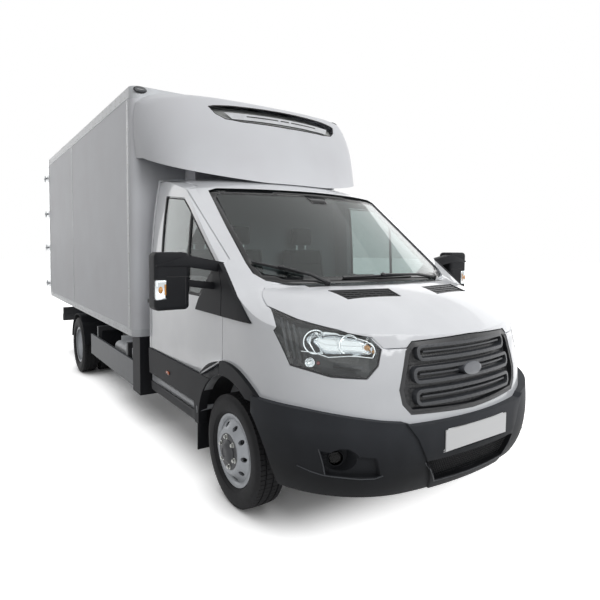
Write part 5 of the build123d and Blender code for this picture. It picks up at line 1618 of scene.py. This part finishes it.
make_seat("driver_seat", "driver_seat", 180, 680, (430,), (262, 598))
make_seat("bench", "passenger_seat", -860, 0, (-250, -620), (-778, -432, -82))
print("seats padded")

# %% [markdown]
# ## Dashboard details
# On top of the plain dashboard sit a hood over the dials, two stalks behind the wheel, round air vents, a
# dark screen in the middle and the gear lever. All are small turned or rounded pieces. The dials and the
# screen carry no print.

# %% Hood, vents, screen and stalks
bm = bmesh.new()
add_side_slab(bm, [(300, 1280), (330, 1352), (400, 1366), (478, 1338), (488, 1282), (440, 1262)], 292, 568, 14)
add_block(bm, (-170, 392, 1270), (150, 478, 1330), 14, 3)
add_bar(bm, (430, 470, 1105), (430, 572, 1168), 46, 24, 34)
finish_piece("dial_hood", bm, "chassis", DASH_PLASTIC, smooth=30)
bm = bmesh.new()
for x, z in ((-780, 1210), (-240, 1225), (220, 1225), (760, 1210)):
    add_turned(bm, (x, 508, z), (0, 1, 0.25), [(-12, 42), (4, 42), (6, 38), (0, 34), (-12, 34)], 32)
    for k in range(-2, 3):
        add_block(bm, (x - 33 + abs(k)*5, 492, z + k*12 - 1.5), (x + 33 - abs(k)*5, 504, z + k*12 + 1.5))
add_bar(bm, (410, 560, 1190), (262, 575, 1215), 7, 12, 10)
add_bar(bm, (450, 560, 1190), (598, 575, 1215), 7, 12, 10)
add_bar(bm, (110, 520, 1080), (95, 585, 1205), 9, 12)
add_ball(bm, (94, 590, 1216), 25, (1, 1, 1.15))
finish_piece("vents_and_stalks", bm, "chassis", BLACK_ABS)
bm = bmesh.new()
add_block(bm, (-120, 476, 1192), (110, 507, 1290), 6, 2)
finish_piece("blank_screen", bm, "chassis", CERAMIC)
for side, word in SIDES:
    bm = bmesh.new()
    add_side_slab(bm, [(700, 1968), (706, 1980), (846, 2012), (852, 2000)], side*190, side*660, 5)
    finish_piece("sun_visor_" + word, bm, "chassis", ROOF_LINING)
print("cabin furnished")

# %% [markdown]
# ## The rest of the arch lip
# The black arch lip runs on, behind the wheel, across the wing and the foot of the door, and ends at the
# cladding. Its missing arc is drawn as two flat outlines, one riding on the cab and one on the door, and
# laid on each.

# %% Rest of the arch lip
ARCH_Y, ARCH_Z = -30.0, 372.0


def arc_points(radius, from_y, to_y, count=10):
    """Points (y, z) on the upper rear quarter of a ring about the arch's middle."""
    places = []
    for k in range(count + 1):
        y = from_y + (to_y - from_y)*k/count
        places.append((y, ARCH_Z + sqrt(max(0.0, radius*radius - (y - ARCH_Y)**2))))
    return places


lip_on_cab = arc_points(442, 46, 206) + [(314, 745), (52, 868)]
lip_on_door = [(338, 756)] + arc_points(523, 330, 58) + [(58, 886)]
for side, word in SIDES:
    wing = part_of("cab_body", lambda x, y, z, n: n.x*side > 0.3)
    draped("arch_lip_fixed_" + word, lip_on_cab, word, wing, "chassis", BLACK_PLASTIC, lift=6, thick=12, step=35)
    skin = part_of("cab_door_" + word, lambda x, y, z, n: n.x*side > 0.2)
    draped("arch_lip_door_" + word, lip_on_door, word, skin, "cab_door_" + word, BLACK_PLASTIC, lift=3, thick=6,
           step=35)
print("arch lips closed")

# %% [markdown]
# ## The bumper's lines
# The bumper has thin ridges under the fog lamps and along the inlet. Their grey is lighter than the bumper's black: a
# painted highlight for the light that the ridges catch. Each is a chain of short bars sunk halfway into the bumper's
# face. A ridge is first cut into short steps, so that its bars can follow the curve.

# %% Ridges and inlet lip on the bumper
# A lighter grey for the ridges and the inlet lip: a painted highlight along them.
RIDGE_HIGHLIGHT_GREY = make_grained_plastic("ridge_painted_highlight_grey", "#35373B", "#3D4044", 0.45)
LOW_RIDGE = [(925, 478), (880, 458), (838, 446), (758, 442), (700, 437), (640, 439), (606, 452)]
STEEP_RIDGE = [(868, 584), (852, 520), (836, 452)]
LIP_HALF = [(0, 365), (150, 366), (291, 369), (320, 412), (348, 454), (374, 492)]


def even_line(points, step=25):
    """A polyline (x, z) cut into short pieces, so that it can follow a curved surface."""
    line = [points[0]]
    for (x0, z0), (x1, z1) in zip(points, points[1:]):
        count = max(1, round(hypot(x1 - x0, z1 - z0)/step))
        line += [(x0 + (x1 - x0)*k/count, z0 + (z1 - z0)*k/count) for k in range(1, count + 1)]
    return line


for side, word in SIDES:
    bm = bmesh.new()
    for ridge, radius in ((LOW_RIDGE, 3.6), (STEEP_RIDGE, 3.4)):
        add_chain(bm, [on_bumper(side*x, z, -0.5) for x, z in even_line(ridge)], radius, 6)
    finish_piece("bumper_ridges_" + word, bm, "chassis", RIDGE_HIGHLIGHT_GREY, smooth=60)
bm = bmesh.new()
inlet_line = [(-x, z) for x, z in reversed(LIP_HALF)] + LIP_HALF[1:]
add_chain(bm, [on_bumper(x, z, -0.5) for x, z in even_line(inlet_line)], 3.6, 6)
finish_piece("inlet_lip", bm, "chassis", RIDGE_HIGHLIGHT_GREY, smooth=60)
print("bumper lines laid")

# %% [markdown]
# ## The load box's profiles and rivets
# A sandwich-panel box is held together by aluminium profiles painted white: a deep one round each edge and
# a rounded one up each front corner. Blind rivets pin them every 150 millimetres. One side panel is joined
# to the next by a flat seam. Each rivet is a flattened ball of a few dozen faces.

# %% Profiles
PROFILE_PAINT = make_plain("painted_box_profile", "#D5D8DB", 0.42, 120)
for node in ("box_floor", "box_roof"):
    mesh = skins[node].data
    mesh.materials.append(PROFILE_PAINT)
    for face in mesh.polygons:
        x, y, z = in_mm(face.center)
        if abs(x) > 1090 or z > 2895 or y < 1610:
            face.material_index = 1
for side, word in SIDES:
    bm = bmesh.new()
    for y0, y1 in ((1604, 1664), (4012, 4046), (5780, 5836)):
        add_block(bm, (side*1099, y0, 873), (side*1102.5, y1, 2806), 1)
    for z in (851, 869, 2815):
        add_bar(bm, (side*1101, 1606, z), (side*1101, 5830, z), 2.4, 8)
    finish_piece("box_profiles_" + word, bm, "chassis", PROFILE_PAINT, smooth=30)
    bm = bmesh.new()
    for k in range(28):
        y = 1700 + 150*k
        for z in (836, 2838, 2886):
            add_ball(bm, (side*1100.5, y, z), 6.5, (0.42, 1, 1), 8)
    for k in range(13):
        z = 920 + 150*k
        for y in (1620, 1648, 4029, 5794, 5822):
            add_ball(bm, (side*1102.5, y, z), 5.5, (0.42, 1, 1), 8)
    finish_piece("box_rivets_" + word, bm, "chassis", ZINC, smooth=60)
print("box profiled")

# %% [markdown]
# ## Corner lamps
# A dark oval marker lamp sits high on each front corner of the box. It is two flattened balls, a rubber
# base and a slimmer grey lens that stands out of it.

# %% Corner lamps
for side, word in SIDES:
    for kind, y, radius, scale, finish, slot in (
            ("corner_lamp_base_", 1522, 57, (1, 0.2, 0.5), SEAL_RUBBER, "black_plastic"),
            ("corner_lamp_", 1516, 49, (1, 0.26, 0.44), LAMP_GREY, "lamp_lens")):
        bm = bmesh.new()
        add_ball(bm, (side*1026, y, 2876), radius, scale, 24)
        finish_piece(kind + word, bm, "chassis", finish, smooth=60, replaces=["marker_lamps"])

print("corner lamps in place")

# %% [markdown]
# ## The fairing's slot
# The condenser breathes through the slot in the fairing. Behind the slot is a pale lining that follows the fairing's
# own curve, because a sheet is given the depth found just above and just below the opening. In it lies a white
# louvre, and three black bars on it are painted shade for the louvre's openings. A rubber edge runs round the slot,
# and bolts hold the fairing's brackets.

# %% Fairing slot
SLOT_HALF = [(0, 2713), (470, 2712), (590, 2704), (632, 2694), (598, 2630), (530, 2590), (400, 2575), (0, 2569)]
BELOW_SLOT, ABOVE_SLOT = 2560, 2722
slot_points = SLOT_HALF + [(-x, z) for x, z in reversed(SLOT_HALF) if x]
fairing_front = surface_of("air_fairing")


def fairing_depth(x, z):
    """How far forward the fairing's face would be at (x, z) if it had no slot."""
    places = []
    for height in (BELOW_SLOT, ABOVE_SLOT):
        hit, _, _, _ = fairing_front.ray_cast(at(x, -3000, height), Vector((0, 1, 0)))
        places.append(in_mm(hit)[1])
    share = (z - BELOW_SLOT)/(ABOVE_SLOT - BELOW_SLOT)
    return places[0]*(1 - share) + places[1]*share


def behind_fairing(name, points, inward, thick, material):
    """A sheet inside the slot, inward(z) mm behind the fairing's face."""
    bm = cells([points], "front", 40)
    for vert in bm.verts:
        x, _, z = in_mm(vert.co)
        vert.co.y = AXLE_Y + (fairing_depth(max(-640, min(640, x)), z) + inward(z))*MM
    bmesh.ops.solidify(bm, geom=bm.faces[:], thickness=-thick*MM)
    finish_piece(name, bm, "chassis", material, smooth=40)


lining = [(x*1.04, 2641 + (z - 2641)*1.12) for x, z in slot_points]
behind_fairing("slot_lining", lining, lambda z: 26 + 70*max(0.0, (z - 2600)/110), 3, SLOT_GREY)
bm = bmesh.new()
rim = even_line(slot_points + [slot_points[0]], 40)
add_chain(bm, [(x, fairing_depth(x, z) - 1, z) for x, z in rim], 5)
finish_piece("slot_edge", bm, "chassis", SEAL_RUBBER, smooth=60)
behind_fairing("slot_louvre", [(-470, 2598), (470, 2598), (520, 2655), (-520, 2655)], lambda z: 15, 6, CASE_PAINT)
# Black bars on the louvre: painted shade for its openings.
bm = bmesh.new()
for x0, x1 in ((-345, -65), (-40, 40), (65, 345)):
    line = even_line([(x0, 2630), (x1, 2630)], 40)
    for (xa, za), (xb, zb) in zip(line, line[1:]):
        add_bar(bm, (xa, fairing_depth(xa, za) + 15, za), (xb, fairing_depth(xb, zb) + 15, zb), 8.5, 8)
finish_piece("louvre_opening_shade_bars", bm, "chassis", BLACK_ABS)
bm = bmesh.new()
for side in (-1, 1):
    for k in range(3):
        y = 1165 + 46*k
        add_bar(bm, (side*711, y, 2262 - 3*k), (side*719, y, 2262 - 3*k), 9, 6)
finish_piece("bracket_bolts", bm, "chassis", ZINC, smooth=30)
print("slot lined")

# %% [markdown]
# ## The rear of the box
# Two full-height doors close the box. Each is framed by a black rubber gasket, held by four strap hinges
# and locked by a bar that turns in brackets. At its ends a cam bites into a keeper on the frame. Below,
# the lamp boards on the underrun beam carry orange, red and white lenses in black housings.

# %% Gaskets, keepers and handles
for side, word in SIDES:
    body = "rear_door_" + word
    bm = bmesh.new()
    low, high, rear, front = 897, 2820, 5982.5, 5987.5
    for z in (low, high):
        add_block(bm, (side*8, rear, z - 5), (side*1082, front, z + 5), 2)
    for x in (side*8, side*1082):
        add_block(bm, (x - 5, rear, low), (x + 5, front, high), 2)
    finish_piece("door_gasket_" + word, bm, body, SEAL_RUBBER)
    bm = bmesh.new()
    for z in (950, 1250, 1900, 2766):
        for dx in (-24, 24):
            for dz in (-12, 12):
                add_bar(bm, (side*(140 + dx), 6004, z + dz), (side*(140 + dx), 6008, z + dz), 5, 6)
    for z in (1000, 1560, 2080, 2630):
        for x in (920, 975, 1030):
            add_bar(bm, (side*x, 5988, z), (side*x, 5996, z), 7, 6)
    finish_piece("door_bolts_" + word, bm, body, ZINC, smooth=30)
    bm = bmesh.new()
    add_block(bm, (side*160, 6005, 1178), (side*420, 6019, 1212), 6, 3)
    finish_piece("lock_handle_" + word, bm, body, BLACK_ABS)

    bm = bmesh.new()
    add_block(bm, (side*631, 5850.5, 508), (side*911, 5888, 607), 4)
    finish_piece("rear_lamp_case_" + word, bm, "chassis", BLACK_ABS, replaces=["marker_lamps"])
    for lens_name, finish, start, width in (("orange", ORANGE_LENS, 907, 74), ("red", RED_LENS, 829, 118),
                                            ("white", WHITE_LENS, 707, 68)):
        bm = bmesh.new()
        add_block(bm, (side*start, 5880, 513), (side*(start - width), 5896, 602), 5, 3)
        finish_piece("rear_lens_" + lens_name + "_" + word, bm, "chassis", finish)
print("rear finished")

# %% [markdown]
# ## Under the box
# Along the frame rails sit bolted brackets that tie the box to the chassis. The side guards hang on dark
# arms, so the arms take the chassis finish and only the outer panel stays grey.

# %% Guard arms and frame brackets
GUARD_PANEL_X = 1012
guard_mesh = skins["side_guards"].data
guard_mesh.materials.append(CHASSIS_PAINT)
for face in guard_mesh.polygons:
    if abs(face.center.x) < GUARD_PANEL_X*MM:
        face.material_index = 1
bm = bmesh.new()
for side in (-1, 1):
    for y in range(1900, 5600, 370):
        add_block(bm, (side*421, y, 640), (side*424, y + 90, 740), 1)
        for dy in (18, 72):
            add_bar(bm, (side*423, y + dy, 690), (side*432, y + dy, 690), 9, 6)
finish_piece("frame_brackets", bm, "chassis", CHASSIS_PAINT)
print("frame dressed")
